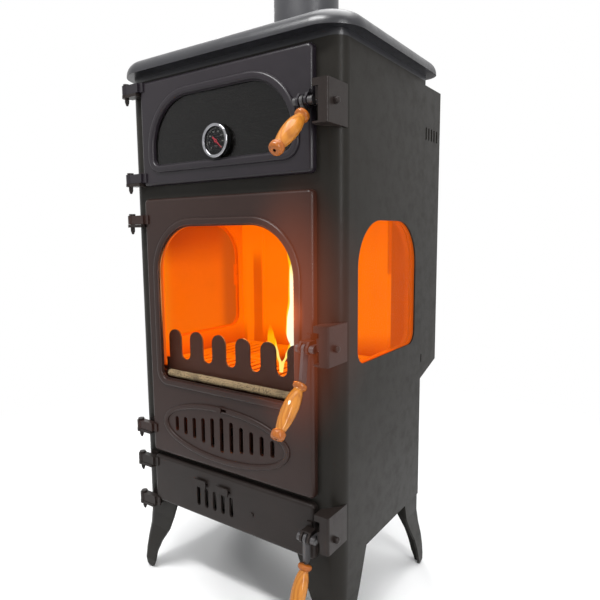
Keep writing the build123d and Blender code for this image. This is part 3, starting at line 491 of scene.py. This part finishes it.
def left_glow(m):
    """Painted firelight on the left glass, in place of the lit firebox behind it: brightest low down, dull
    red at the top of the front edge.
    """
    x, y, z = m.drawn()
    cloud = (m.noise(6.0, 2.0) - 0.5) * 20.0
    glow = m.ramp((z + cloud) * MM, PANE_LIGHT)
    glow = m.mix(1.0 - y.fade(*PANE_FRONT_Y), glow, fire(0.95, 0.2, 0.003))
    high_and_front = (1.0 - y.fade(*PANE_FRONT_SHADE_Y)) * z.fade(*PANE_TOP_Z)
    glow = m.mix(high_and_front * 0.8, glow, fire(0.4, 0.035))
    return m.mix(y.fade(*PANE_REAR_Y) * 0.8, glow, fire(0.58, 0.08, 0.004))


door_glass = clear_glass("clear fire glass", (0.02, 0.01, 0.008, 1.0), alpha=0.04, gloss=0.12)
side_glass = clear_glass("clear side glass", (0.05, 0.02, 0.01, 1.0), alpha=0.05, gloss=0.12)
smoked_glass = clear_glass("smoked oven glass", linear("0e0d0c"), alpha=0.72, gloss=0.3, rough=0.05)
lens_glass = clear_glass("dial lens", (0.1, 0.1, 0.1, 1.0), alpha=0.03, gloss=0.3, rough=0.02)
# The left glass is a nearly opaque sheet that glows with painted firelight in place of the view through it.
left_glass_painted_firelight = clear_glass("fire-lit left glass", (0.01, 0.002, 0.0, 1.0), alpha=0.95, gloss=0.02, rough=0.3,
                        glow=left_glow, strength=0.99)

CARRIED = {
    plate_paint: ["top_plate"],
    body_paint: ["body_shell", "rear_panel", "bottom_plate", "leg_front_left", "leg_front_right",
                 "leg_rear_left", "leg_rear_right", "hopper_casing", "hopper_lid"],
    pipe_paint_with_top_light: ["flue_pipe", "flue_collar"],
    oven_paint: ["oven_door_panel"],
    door_paint: ["fire_door_panel", "air_shutter"],
    hardware_paint: ["ash_door_panel", "ash_air_slide", "oven_hinge_brackets", "fire_hinge_brackets",
                     "ash_hinge_brackets", "upper_keeper", "middle_keeper", "lower_keeper"],
    lever_steel: ["upper_latch_lever", "middle_latch_lever", "lower_latch_lever"],
    comb_iron: ["log_comb"],
    retainer_steel: ["fire_glass_retainer"],
    bare_steel: ["ash_drawer", "hopper_bin", "pellet_chute", "lid_hinge_rod", "oven_glass_retainer"],
    oven_enamel: ["oven_box"],
    rack_steel: ["oven_rack"],
    liner_wall: ["left_liner", "right_liner"],
    back_wall: ["back_liner"],
    baffle_steel: ["smoke_baffle"],
    frame_steel: ["left_glass_frame", "right_glass_frame"],
    grate_iron: ["fire_grate"],
    floor_iron: ["firebox_floor"],
    pot_iron: ["burner_pot"],
    door_glass: ["fire_door_glass"],
    side_glass: ["right_side_glass"],
    left_glass_painted_firelight: ["left_side_glass"],
    smoked_glass: ["oven_door_glass"],
    lens_glass: ["thermometer_lens"],
    dial_black: ["thermometer_case"],
    pointer_red: ["thermometer_pointer"],
}
for finish, names in CARRIED.items():
    for name in names:
        mesh = nodes[name].data
        mesh.materials.clear()
        mesh.materials.append(finish)


# Pieces


def add_piece(name, points, faces, finish, smooth=True):
    mesh = bpy.data.meshes.new(name)
    mesh.from_pydata([tuple(p) for p in points], [], faces)
    mesh.materials.append(finish)
    for polygon in mesh.polygons:
        polygon.use_smooth = smooth
    mesh.update()
    return link(name, mesh)


def tube_faces(rings, around, closed=False):
    """Faces between rings of points that follow each other, the last ring joined to the first if closed."""
    faces = []
    for i in range(rings if closed else rings - 1):
        here, there = i * around, ((i + 1) % rings) * around
        for k in range(around):
            n = (k + 1) % around
            faces.append((here + k, here + n, there + n, there + k))
    return faces


def tidy_mesh(piece):
    """Doubles merged and faces turned outwards."""
    work = bmesh.new()
    work.from_mesh(piece.data)
    bmesh.ops.remove_doubles(work, verts=work.verts, dist=1e-6)
    bmesh.ops.recalc_face_normals(work, faces=work.faces)
    work.to_mesh(piece.data)
    work.free()


def spun(name, profile, turn, finish, around=64, closed=False):
    """A turned piece. profile is (radius, height) in millimetres, and turn places it."""
    points = []
    for radius, height in profile:
        for k in range(around):
            a = 2 * math.pi * k / around
            points.append(Vector((radius * math.cos(a), radius * math.sin(a), height)) * MM)
    piece = add_piece(name, points, tube_faces(len(profile), around, closed), finish)
    tidy_mesh(piece)
    own = piece.data.attributes.new("turned", "FLOAT_VECTOR", "POINT")
    for vertex in piece.data.vertices:
        own.data[vertex.index].vector = vertex.co
    piece.data.transform(turn)
    return piece


def towards(origin, way):
    """A placing that turns Z to the direction way, at origin."""
    return Matrix.Translation(origin) @ Vector(way).to_track_quat("Z", "Y").to_matrix().to_4x4()


# Wooden grips: the profile from the lever's end to the rounded cap with its screw hole

GRIP = [(0.0, 0.0), (8.5, 0.0), (10.0, 0.5), (11.3, 1.8), (11.5, 3.2), (11.4, 5.6), (10.6, 7.2), (9.0, 8.4),
        (7.7, 9.3), (7.3, 10.2), (7.6, 11.6), (8.6, 14.0), (9.9, 18.0), (11.2, 24.0), (12.1, 31.0),
        (12.5, 38.0), (12.5, 45.0), (12.1, 53.0), (11.2, 61.0), (10.0, 68.0), (8.8, 73.5), (8.1, 76.0),
        (7.9, 77.3), (8.4, 78.3), (9.7, 79.3), (10.7, 81.0), (11.0, 83.5), (10.9, 86.5), (10.3, 89.2),
        (9.0, 91.2), (7.0, 92.0), (3.2, 92.0), (2.4, 91.6), (2.2, 90.5), (2.1, 85.0), (0.0, 84.6)]
# Each lever's bend from its pivot, back and up, and the grip's slope below level in degrees
LEVERS = {"upper": (5.0, -13.5, 40.4), "middle": (-6.9, -47.0, 46.4), "lower": (0.4, -36.0, 62.8)}
GRIP_PAST_BEND = 7.3
pivots = {joint["name"]: Vector(joint["pos_m"]) for joint in frame["joints"] if "pos_m" in joint}

for which, (back, up, slope) in LEVERS.items():
    way = Vector((0.0, -math.cos(math.radians(slope)), -math.sin(math.radians(slope))))
    foot = pivots[f"{which}_latch_turn"] + (Vector((0.0, back, up)) + GRIP_PAST_BEND * way) * MM
    grip = spun(f"{which}_grip_turned", GRIP, towards(foot, way), wood)
    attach(grip, f"{which}_latch")
    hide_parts(f"{which}_latch_grip")

# Thermometer: the bezel's ring, seen in section as (radius, height above the door's face)

BEZEL = [(26.8, 1.5), (28.3, 1.5), (28.3, 7.2), (28.0, 8.2), (27.2, 9.0), (26.2, 9.35), (25.2, 9.3),
         (24.2, 8.9), (23.4, 8.3), (23.0, 8.05), (23.0, 7.95), (26.8, 7.95)]
BEZEL_AROUND = 96
gauge = sum(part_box("thermometer_bezel"), Vector()) / 2
GAUGE_X, GAUGE_Z = gauge.x / MM, gauge.z / MM

bezel = spun("thermometer_bezel_ring", BEZEL, towards(at(GAUGE_X, 0.0, GAUGE_Z), (0, -1, 0)), chrome,
             BEZEL_AROUND, closed=True)
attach(bezel, "oven_door")
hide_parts("thermometer_bezel")


class Growth(Graph):
    """A Geometry Nodes tree with named inputs, run once to give a plain mesh."""

    def __init__(self, name, inputs):
        tree = bpy.data.node_groups.new(name, "GeometryNodeTree")
        tree.interface.new_socket("Geometry", in_out="OUTPUT", socket_type="NodeSocketGeometry")
        tree.interface.new_socket("Geometry", in_out="INPUT", socket_type="NodeSocketGeometry")
        tree.interface.new_socket("Finish", in_out="INPUT", socket_type="NodeSocketMaterial")
        kinds = {float: "NodeSocketFloat", int: "NodeSocketInt"}
        for label, value in inputs.items():
            socket = tree.interface.new_socket(label, in_out="INPUT", socket_type=kinds[type(value)])
            socket.default_value = value
        super().__init__(tree)
        self.add("NodeGroupInput")
        self.entry = self.last

    def given(self, label):
        return Wire(self, self.entry.outputs[label])

    def finish_with(self, geometry):
        real = self.add("GeometryNodeRealizeInstances", None, {0: geometry})
        painted = self.add("GeometryNodeSetMaterial", None,
                           {"Geometry": real, "Material": self.given("Finish")})
        smooth = self.add("GeometryNodeSetShadeSmooth", None, {0: painted})
        self.add("NodeGroupOutput", None, {0: smooth})

    def grow(self, name, base, finish, **values):
        """Runs the tree on the object base and returns the plain mesh as a new piece."""
        modifier = base.modifiers.new("growth", "NODES")
        modifier.node_group = self.tree
        keys = {s.name: s.identifier for s in self.tree.interface.items_tree if s.in_out == "INPUT"}
        modifier[keys["Finish"]] = finish
        for label, value in values.items():
            modifier[keys[label.replace("_", " ")]] = value
        bpy.context.view_layer.update()
        graph = bpy.context.evaluated_depsgraph_get()
        mesh = bpy.data.meshes.new_from_object(base.evaluated_get(graph), depsgraph=graph)
        base.modifiers.clear()
        bpy.data.objects.remove(base)
        mesh.name = name
        return link(name, mesh)


# Braided ropes

STRANDS_INSIDE, CORE_INSIDE, OVER_AND_UNDER = 1.35, 1.9, 0.35
THREAD_SIDES, CORE_SIDES = 6, 16


def braid_growth():
    """Strands that cross over and under round a core, along any path in a plane that faces the front.

    In strand radii, the strands' middles lie STRANDS_INSIDE within the rope's surface and wave by
    OVER_AND_UNDER, and the core's surface lies CORE_INSIDE.
    """
    g = Growth("braided rope", {"Rope radius": 7.4 * MM, "Strand radius": 1.2 * MM, "Strands": 12,
                                "Turns": 10.0, "Deep": 1.0, "Step": 2.0 * MM})
    path = g.add("GeometryNodeResampleCurve", {"mode": "LENGTH"},
                 {"Curve": g.given("Geometry"), "Length": g.given("Step")})
    g.add("GeometryNodeDuplicateElements", {"domain": "SPLINE"},
          {"Geometry": path, "Amount": g.given("Strands")})
    strands = g.also("Geometry")
    number = g.also("Duplicate Index")
    along = g.add("GeometryNodeSplineParameter")
    tangent = g.add("GeometryNodeInputTangent")
    across = (0.0, 1.0, 0.0)
    side = g.vector("NORMALIZE", g.vector("CROSS_PRODUCT", tangent, across))
    way = 1.0 - 2.0 * (number % 2.0)
    turned = along * g.given("Turns") * (2 * math.pi)
    angle = turned * way + number / g.given("Strands") * (2 * math.pi)
    lift = (turned * g.given("Strands") * 0.5).sin() * way
    strand = g.given("Strand radius")
    radius = g.given("Rope radius") - strand * STRANDS_INSIDE + lift * strand * OVER_AND_UNDER
    outward = g.vector("ADD", g.scale(side, angle.cos() * radius),
                       g.scale(across, angle.sin() * radius * g.given("Deep")))
    moved = g.add("GeometryNodeSetPosition", None, {"Geometry": strands, "Offset": outward})
    thread = g.add("GeometryNodeCurvePrimitiveCircle", {"mode": "RADIUS"},
                   {"Resolution": THREAD_SIDES, "Radius": strand})
    cords = g.add("GeometryNodeCurveToMesh", None,
                  {"Curve": moved, "Profile Curve": thread, "Fill Caps": True})
    core = g.add("GeometryNodeCurvePrimitiveCircle", {"mode": "RADIUS"},
                 {"Resolution": CORE_SIDES, "Radius": g.given("Rope radius") - strand * CORE_INSIDE})
    middle = g.add("GeometryNodeCurveToMesh", None,
                   {"Curve": path, "Profile Curve": core, "Fill Caps": True})
    both = g.add("GeometryNodeJoinGeometry", None, {0: cords})
    g.tree.links.new(middle.socket, g.last.inputs[0])
    g.finish_with(both)
    return g


def path_object(name, points, cyclic=False):
    curve = bpy.data.curves.new(name, "CURVE")
    curve.dimensions = "3D"
    line = curve.splines.new("POLY")
    line.points.add(len(points) - 1)
    for spot, point in zip(line.points, points):
        spot.co = (*point, 1.0)
    line.use_cyclic_u = cyclic
    return link(name, curve)


def rounded_path(half, low, high, radius, y, arc_steps=6):
    """Points round a rectangle with rounded corners, facing the front."""
    points = []
    corners = [(half - radius, high - radius, 0), (-half + radius, high - radius, 90),
               (-half + radius, low + radius, 180), (half - radius, low + radius, 270)]
    for x, z, first in corners:
        for k in range(arc_steps + 1):
            a = math.radians(first + 90 * k / arc_steps)
            points.append(at(x + radius * math.cos(a), y, z + radius * math.sin(a)))
    return points


braid = braid_growth()

# The rope at the foot of the window lies in its channel with a slight wave.
ROPE_Y, ROPE_SHORTER, ROPE_STEPS, ROPE_WAVE = 14.9, 1.0, 60, 0.25
rope_low, rope_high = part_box("glass_rope")
rope_half = rope_high.x / MM - ROPE_SHORTER
rope_z = (rope_low.z + rope_high.z) / 2 / MM
rope_line = []
for k in range(ROPE_STEPS + 1):
    x = rope_half * (2 * k / ROPE_STEPS - 1)
    rope_line.append(at(x, ROPE_Y, rope_z + ROPE_WAVE * math.sin(0.9 * k)))
rope_piece = braid.grow("window_rope_braid", path_object("rope path", rope_line), rope,
                        Rope_radius=7.2 * MM, Strand_radius=1.1 * MM, Strands=16, Turns=9.0, Step=1.2 * MM)
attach(rope_piece, "fire_door")
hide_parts("glass_rope")

# Each door's rope seal runs round inside the box of its solid, with the twists that its length needs.
SEAL_RADIUS, SEAL_CORNER, SEAL_Y = 4.0, 9.0, 7.9
SEAL_TURNS = {"oven": 60.0, "fire": 96.0, "ash": 52.0}
for door, turns in SEAL_TURNS.items():
    low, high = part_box(f"{door}_door_gasket")
    loop = rounded_path(high.x / MM - SEAL_RADIUS, low.z / MM + SEAL_RADIUS, high.z / MM - SEAL_RADIUS,
                        SEAL_CORNER, SEAL_Y)
    seal = braid.grow(f"{door}_door_rope_seal", path_object("seal path", loop, cyclic=True), gasket_rope,
                      Rope_radius=SEAL_RADIUS * MM, Strand_radius=0.95 * MM, Strands=8, Turns=turns, Deep=1.2,
                      Step=3.0 * MM)
    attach(seal, f"{door}_door")
    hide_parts(f"{door}_door_gasket")


# Dial: ticks and numbers on the face of the case

DIAL_SWEEP = 4.7
TICK_Y, NUMBER_Y = -4.1, -4.15
TICK_SIZE = (0.45, 0.3, 1.8)
LONG_TICK_EVERY, LONGER_BY = 5.0, 0.7
NUMBERS = ("0", "50", "100", "150", "200", "250", "300", "350")
NUMBER_RING, NUMBER_SIZE, NUMBER_RELIEF = 15.2, 3.4, 0.12
UNIT_BELOW, UNIT_SIZE = 9.5, 4.4


def dial_growth():
    """Small bars round a circle, every fifth one longer."""
    g = Growth("dial ticks", {"Ticks": 41, "Radius": 20.5 * MM, "Sweep": DIAL_SWEEP})
    line = g.add("GeometryNodeMeshLine", None, {"Count": g.given("Ticks"), "Offset": (0.0, 0.0, 0.0)})
    number = g.add("GeometryNodeInputIndex")
    turn = (number / (g.given("Ticks") - 1.0) - 0.5) * g.given("Sweep")
    offset = g.scale(g.join(turn.sin(), 0.0, turn.cos()), g.given("Radius"))
    spots = g.add("GeometryNodeSetPosition", None, {"Geometry": line, "Offset": offset})
    bar = g.add("GeometryNodeMeshCube", None, {"Size": tuple(side * MM for side in TICK_SIZE)})
    longer = 1.0 + LONGER_BY * ((number % LONG_TICK_EVERY) < 0.5)
    placed = g.add("GeometryNodeInstanceOnPoints", None,
                   {"Points": spots, "Instance": bar, "Rotation": g.join(0.0, turn, 0.0),
                    "Scale": g.join(longer, 1.0, longer)})
    centre = tuple(at(GAUGE_X, TICK_Y, GAUGE_Z))
    g.finish_with(g.add("GeometryNodeTransform", None, {"Geometry": placed, "Translation": centre}))
    return g


def number_mesh(text, size, x, z):
    """Raised figures, centred at x and z on the dial."""
    letters = bpy.data.curves.new("number", "FONT")
    letters.body = text
    letters.size = size * MM
    letters.align_x = "CENTER"
    letters.align_y = "CENTER"
    letters.extrude = NUMBER_RELIEF * MM
    letters.resolution_u = 3
    holder = link("number", letters)
    bpy.context.view_layer.update()
    mesh = bpy.data.meshes.new_from_object(holder.evaluated_get(bpy.context.evaluated_depsgraph_get()))
    bpy.data.objects.remove(holder)
    mesh.transform(Matrix.Translation(at(x, NUMBER_Y, z)) @ Matrix.Rotation(math.radians(90), 4, "X"))
    return mesh


def join_meshes(name, meshes, finish):
    work = bmesh.new()
    for mesh in meshes:
        work.from_mesh(mesh)
    whole = bpy.data.meshes.new(name)
    work.to_mesh(whole)
    work.free()
    whole.materials.clear()
    whole.materials.append(finish)
    return link(name, whole)


seed_point = add_piece("tick seed", [at(0, 0, 0)], [], dial_white)
ticks = dial_growth().grow("dial_ticks", seed_point, dial_white)
numbers = []
for k, text in enumerate(NUMBERS):
    a = (k / (len(NUMBERS) - 1) - 0.5) * DIAL_SWEEP
    numbers.append(number_mesh(text, NUMBER_SIZE, GAUGE_X + NUMBER_RING * math.sin(a),
                               GAUGE_Z + NUMBER_RING * math.cos(a)))
numbers.append(number_mesh("°C", UNIT_SIZE, GAUGE_X, GAUGE_Z - UNIT_BELOW))
figures = join_meshes("dial_numbers", numbers, dial_white)
for marking in (ticks, figures):
    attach(marking, "oven_door")


# Fuel: glowing pellets in the burner pot and stored ones in the bin

PELLET_SIDES, PELLETS_PER_SQUARE_M = 8, 60000.0
HEAP_ROWS, HEAP_UNEVEN = 24, 2.0


def pellet_growth():
    """Short round pellets lying at all angles on a surface."""
    g = Growth("scattered pellets", {"Spacing": 6.0 * MM, "Length": 16.0 * MM, "Radius": 3.0 * MM, "Seed": 3})
    g.add("GeometryNodeDistributePointsOnFaces", {"distribute_method": "POISSON"},
          {"Mesh": g.given("Geometry"), "Distance Min": g.given("Spacing"),
           "Density Max": PELLETS_PER_SQUARE_M, "Seed": g.given("Seed")})
    spots = g.also("Points")
    rod = g.add("GeometryNodeMeshCylinder", None,
                {"Vertices": PELLET_SIDES, "Radius": g.given("Radius"), "Depth": g.given("Length")})
    turn = g.add("FunctionNodeRandomValue", {"data_type": "FLOAT_VECTOR"},
                 {0: (1.1, -0.5, -3.14), 1: (2.0, 0.5, 3.14), "Seed": g.given("Seed")})
    size = g.add("FunctionNodeRandomValue", {"data_type": "FLOAT_VECTOR"},
                 {0: (0.95, 0.95, 0.6), 1: (1.05, 1.05, 1.2), "Seed": g.given("Seed") + 1})
    g.finish_with(g.add("GeometryNodeInstanceOnPoints", None,
                        {"Points": spots, "Instance": rod, "Rotation": turn, "Scale": size}))
    return g


def heap(name, half_x, front, rear, low, high, finish):
    """A mounded sheet of points, higher in the middle."""
    points, faces = [], []
    for i in range(HEAP_ROWS + 1):
        for j in range(HEAP_ROWS + 1):
            u, v = 2 * i / HEAP_ROWS - 1, 2 * j / HEAP_ROWS - 1
            z = low + (high - low) * max(0.0, (1 - u * u) * (1 - v * v)) ** 0.7
            z += HEAP_UNEVEN * noise.noise(Vector((u * 4, v * 4, low)))
            points.append(at(u * half_x, (front + rear) / 2 + v * (rear - front) / 2, z))
    for i in range(HEAP_ROWS):
        for j in range(HEAP_ROWS):
            a = i * (HEAP_ROWS + 1) + j
            faces.append((a, a + HEAP_ROWS + 1, a + HEAP_ROWS + 2, a + 1))
    return add_piece(name, points, faces, finish)


def ember_finish():
    m = Finish("glowing embers")
    spots = m.noise(120.0, 3.0, 0.7)
    glow = m.ramp(spots, [(0.3, fire(0.12, 0.01)), (0.5, fire(1.0, 0.12)), (0.7, fire(1.0, 0.45, 0.05))])
    return m.done(m.shader(Base_Color=linear("2a1c16"), Roughness=0.9, Emission_Color=glow,
                           Emission_Strength=1.6))


def pellet_finish():
    m = Finish("pressed wood pellets")
    grain = m.noise(420.0, 3.0, 0.6)
    batch = m.noise(60.0, 1.0).fade(0.4, 0.6)
    tone = m.mix(grain, linear("8a6136"), linear("c49a63"))
    tone = m.mix(batch * 0.4, tone, linear("6e4a28"))
    return m.done(m.shader(Base_Color=tone, Roughness=0.75, Normal=m.bump(grain, 0.4, 0.4)))


pellets = pellet_growth()
embers = ember_finish()
pressed_wood = pellet_finish()
ember_bed = heap("ember bed", half_x=52.0, front=163.0, rear=257.0, low=402.0, high=420.0, finish=embers)
coal = pellets.grow("ember_pellets", ember_bed, embers, Spacing=6.5 * MM, Seed=5)
store = heap("pellet store", half_x=196.0, front=334.0, rear=396.0, low=905.0, high=925.0,
             finish=pressed_wood)
fuel = pellets.grow("stored_pellets", store, pressed_wood, Spacing=7.2 * MM, Seed=9)
for pile in (coal, fuel):
    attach(pile, "stove")


# Flames


def flame_finish():
    """Flame light by the 'warmth' attribute, 0 at the cool edge and tip and 1 in the core."""
    m = Finish("flame")
    warmth = m.add("ShaderNodeAttribute", {"attribute_name": "warmth"}, None, out=2)
    lick = m.noise(26.0, 4.0, 0.6, stretch=(1.0, 1.0, 0.3))
    level = warmth + (lick - 0.5) * 0.2
    colour = m.ramp(level, [(0.0, fire(1.0, 0.2)), (0.3, fire(1.0, 0.42)), (0.6, fire(1.0, 0.68, 0.02)),
                            (0.85, fire(1.0, 0.95, 0.4)), (1.0, fire(1.0, 1.0, 0.75))])
    return m.done(m.shader(Base_Color=(0.0, 0.0, 0.0, 1.0), Roughness=1.0, Specular_IOR_Level=0.0,
                           Emission_Color=colour, Emission_Strength=1.15, Alpha=level.fade(0.02, 0.55)))


flame = flame_finish()
TONGUE_AROUND, TONGUE_BETWEEN = 28, 5
RIPPLE = 0.12


def tongue(name, y, deep, core, seed, outline):
    """One tongue of flame, deep millimetres from its middle to its front, with core its warmth low down.

    outline gives (height, middle, half width) from the foot up.
    """
    rows = []
    for (z0, x0, w0), (z1, x1, w1) in zip(outline, outline[1:]):
        for k in range(TONGUE_BETWEEN):
            t = k / TONGUE_BETWEEN
            eased = t * t * (3 - 2 * t)
            rows.append((z0 + (z1 - z0) * t, x0 + (x1 - x0) * eased, w0 + (w1 - w0) * eased))
    rows.append(outline[-1])
    low, high = outline[0][0], outline[-1][0]
    points, levels = [], []
    for z, x, wide in rows:
        t = (z - low) / (high - low)
        depth = deep * min(1.0, wide / outline[0][2])
        for k in range(TONGUE_AROUND):
            a = 2 * math.pi * k / TONGUE_AROUND
            ripple = 1 + RIPPLE * noise.noise(Vector((math.cos(a) * 1.5 + seed, math.sin(a) * 1.5, t * 4)))
            points.append(at(x + wide * ripple * math.cos(a), y + depth * ripple * math.sin(a), z))
            levels.append(core * min(1.0, 2.6 * (1 - t) + 0.15))
    faces = tube_faces(len(rows), TONGUE_AROUND)
    foot = tuple(reversed(range(TONGUE_AROUND)))
    tip = tuple(range(len(points) - TONGUE_AROUND, len(points)))
    piece = add_piece(name, points, faces + [foot, tip], flame)
    warmth = piece.data.attributes.new("warmth", "FLOAT", "POINT")
    for k, value in enumerate(levels):
        warmth.data[k].value = value
    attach(piece, "stove")


tongue("flame_core", y=200.0, deep=20.0, core=1.0, seed=1.7,
       outline=[(420.0, 30.0, 18.0), (462.0, 30.0, 24.0), (484.0, 30.0, 33.5), (516.0, 31.0, 32.0),
                (558.0, 34.0, 28.0), (619.0, 36.0, 28.5), (640.0, 36.0, 24.0), (668.0, 30.0, 12.0),
                (690.0, 12.0, 1.0)])
tongue("flame_outer", y=228.0, deep=6.0, core=0.5, seed=3.1,
       outline=[(418.0, 10.0, 22.0), (462.0, 10.0, 31.0), (484.0, 10.0, 39.5), (516.0, 11.0, 39.0),
                (558.0, 14.0, 35.0), (619.0, 16.0, 34.0), (655.0, 10.0, 34.0), (690.0, -8.0, 18.0),
                (712.0, -20.0, 1.0)])
tongue("flame_left", y=196.0, deep=12.0, core=0.35, seed=8.3,
       outline=[(418.0, -36.0, 14.0), (450.0, -40.0, 12.0), (480.0, -44.0, 7.0), (512.0, -46.0, 0.5)])
tongue("flame_lick_one", y=99.0, deep=2.5, core=0.72, seed=2.9,
       outline=[(437.0, 54.0, 3.5), (452.0, 53.0, 3.0), (470.0, 47.0, 2.4), (488.0, 43.0, 1.6),
                (506.0, 41.0, 0.3)])
tongue("flame_lick_two", y=99.0, deep=2.5, core=0.72, seed=6.6,
       outline=[(437.0, 55.0, 3.5), (452.0, 58.0, 2.8), (470.0, 67.0, 2.2), (486.0, 73.0, 1.6),
                (500.0, 76.0, 0.3)])

# Camera at the photograph's place

FOCAL_PX, IMAGE_PX, SENSOR_MM = 541.777, 600, 36.0
YAW, PITCH, ROLL = math.radians(34.728), math.radians(-6.965), math.radians(-0.467)
EYE = (642.7, -686.7, 691.1)
forward = Vector((-math.sin(YAW) * math.cos(PITCH), math.cos(YAW) * math.cos(PITCH), math.sin(PITCH)))
level_right = forward.cross(Vector((0, 0, 1))).normalized()
level_up = level_right.cross(forward)
right = math.cos(ROLL) * level_right + math.sin(ROLL) * level_up
above = math.cos(ROLL) * level_up - math.sin(ROLL) * level_right
camera = link("camera", bpy.data.cameras.new("camera"))
camera.data.sensor_width = SENSOR_MM
camera.data.lens = FOCAL_PX / IMAGE_PX * SENSOR_MM
camera.data.clip_start = 0.01
turned = Matrix((right, above, -forward)).transposed().to_4x4()
camera.matrix_world = Matrix.Translation(at(*EYE)) @ turned
bpy.context.scene.camera = camera

# Floor and background, in metres

WHITE = (1.0, 1.0, 1.0, 1.0)
DAYLIGHT, DAYLIGHT_STRENGTH = (0.97, 0.985, 1.0, 1.0), 0.5
FLOOR_TONE = (0.93, 0.93, 0.93, 1.0)
FLOOR_HALF = 12.0
SHADOW_REACH = (0.55, 1.5)


def seen_directly(m):
    """1 for rays from the camera, mirrors and glass."""
    m.add("ShaderNodeLightPath")
    rays = [m.also(f"Is {kind} Ray") for kind in ("Camera", "Glossy", "Transmission")]
    return (rays[0] + rays[1] + rays[2]) > 0.5


def floor_finish():
    """Pale and with the stove's shadow near it, plain white further away."""
    m = Finish("pale floor")
    x, y, z = m.spread(m.place)
    far = m.length(x, y, 0.0).fade(*SHADOW_REACH) * seen_directly(m)
    near = m.shader(Base_Color=FLOOR_TONE, Roughness=0.9, Specular_IOR_Level=0.1)
    white = m.add("ShaderNodeEmission", None, {"Color": WHITE, "Strength": 1.0})
    return m.done(m.add("ShaderNodeMixShader", None, {0: far, 1: near, 2: white}))


corners = [(-FLOOR_HALF, -FLOOR_HALF, 0), (FLOOR_HALF, -FLOOR_HALF, 0), (FLOOR_HALF, FLOOR_HALF, 0),
           (-FLOOR_HALF, FLOOR_HALF, 0)]
floor = add_piece("floor", corners, [(0, 1, 2, 3)], floor_finish(), smooth=False)
floor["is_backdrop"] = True

world = bpy.data.worlds.new("studio")
bpy.context.scene.world = world
world.use_nodes = True
studio = Graph(world.node_tree)
studio.tree.nodes.clear()
soft = studio.add("ShaderNodeBackground", None, {"Color": DAYLIGHT, "Strength": DAYLIGHT_STRENGTH})
plain = studio.add("ShaderNodeBackground", None, {"Color": WHITE, "Strength": 1.0})
sky = studio.add("ShaderNodeMixShader", None, {0: seen_directly(studio), 1: soft, 2: plain})
studio.add("ShaderNodeOutputWorld", None, {0: sky})

# Lamps

# Each softbox's place, aim, and width and height in metres, and its power in watts
SOFTBOXES = {
    "overhead softbox": ((0.2, 0.3, 2.7), (0.0, 0.0, 0.6), (2.0, 1.4), 42.0),
    "right softbox": ((2.1, -0.9, 1.2), (0.0, 0.0, 0.6), (0.3, 1.8), 30.0),
    "front softbox": ((-0.1, -1.0, 2.2), (0.0, -0.1, 0.6), (1.0, 0.2), 34.0),
    "rear softbox": ((-1.6, 1.9, 1.7), (0.0, 0.0, 0.6), (0.8, 1.2), 24.0),
}
for name, (place, aim, size, power) in SOFTBOXES.items():
    lamp = link(name, bpy.data.lights.new(name, "AREA"))
    lamp.data.shape = "RECTANGLE"
    lamp.data.size, lamp.data.size_y = size
    lamp.data.energy = power
    lamp.location = place
    lamp.rotation_mode = "QUATERNION"
    lamp.rotation_quaternion = (Vector(aim) - Vector(place)).to_track_quat("-Z", "Y")

FIRE_PLACE, FIRE_RADIUS, FIRE_POWER, FIRE_COLOUR = (0.0, 120.0, 560.0), 0.05, 4.0, (1.0, 0.32, 0.06)
fire_light = link("fire light", bpy.data.lights.new("fire light", "POINT"))
fire_light.data.shadow_soft_size = FIRE_RADIUS
fire_light.data.energy = FIRE_POWER
fire_light.data.color = FIRE_COLOUR
fire_light.location = at(*FIRE_PLACE)

bpy.context.scene.view_settings.view_transform = "Standard"

low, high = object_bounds()
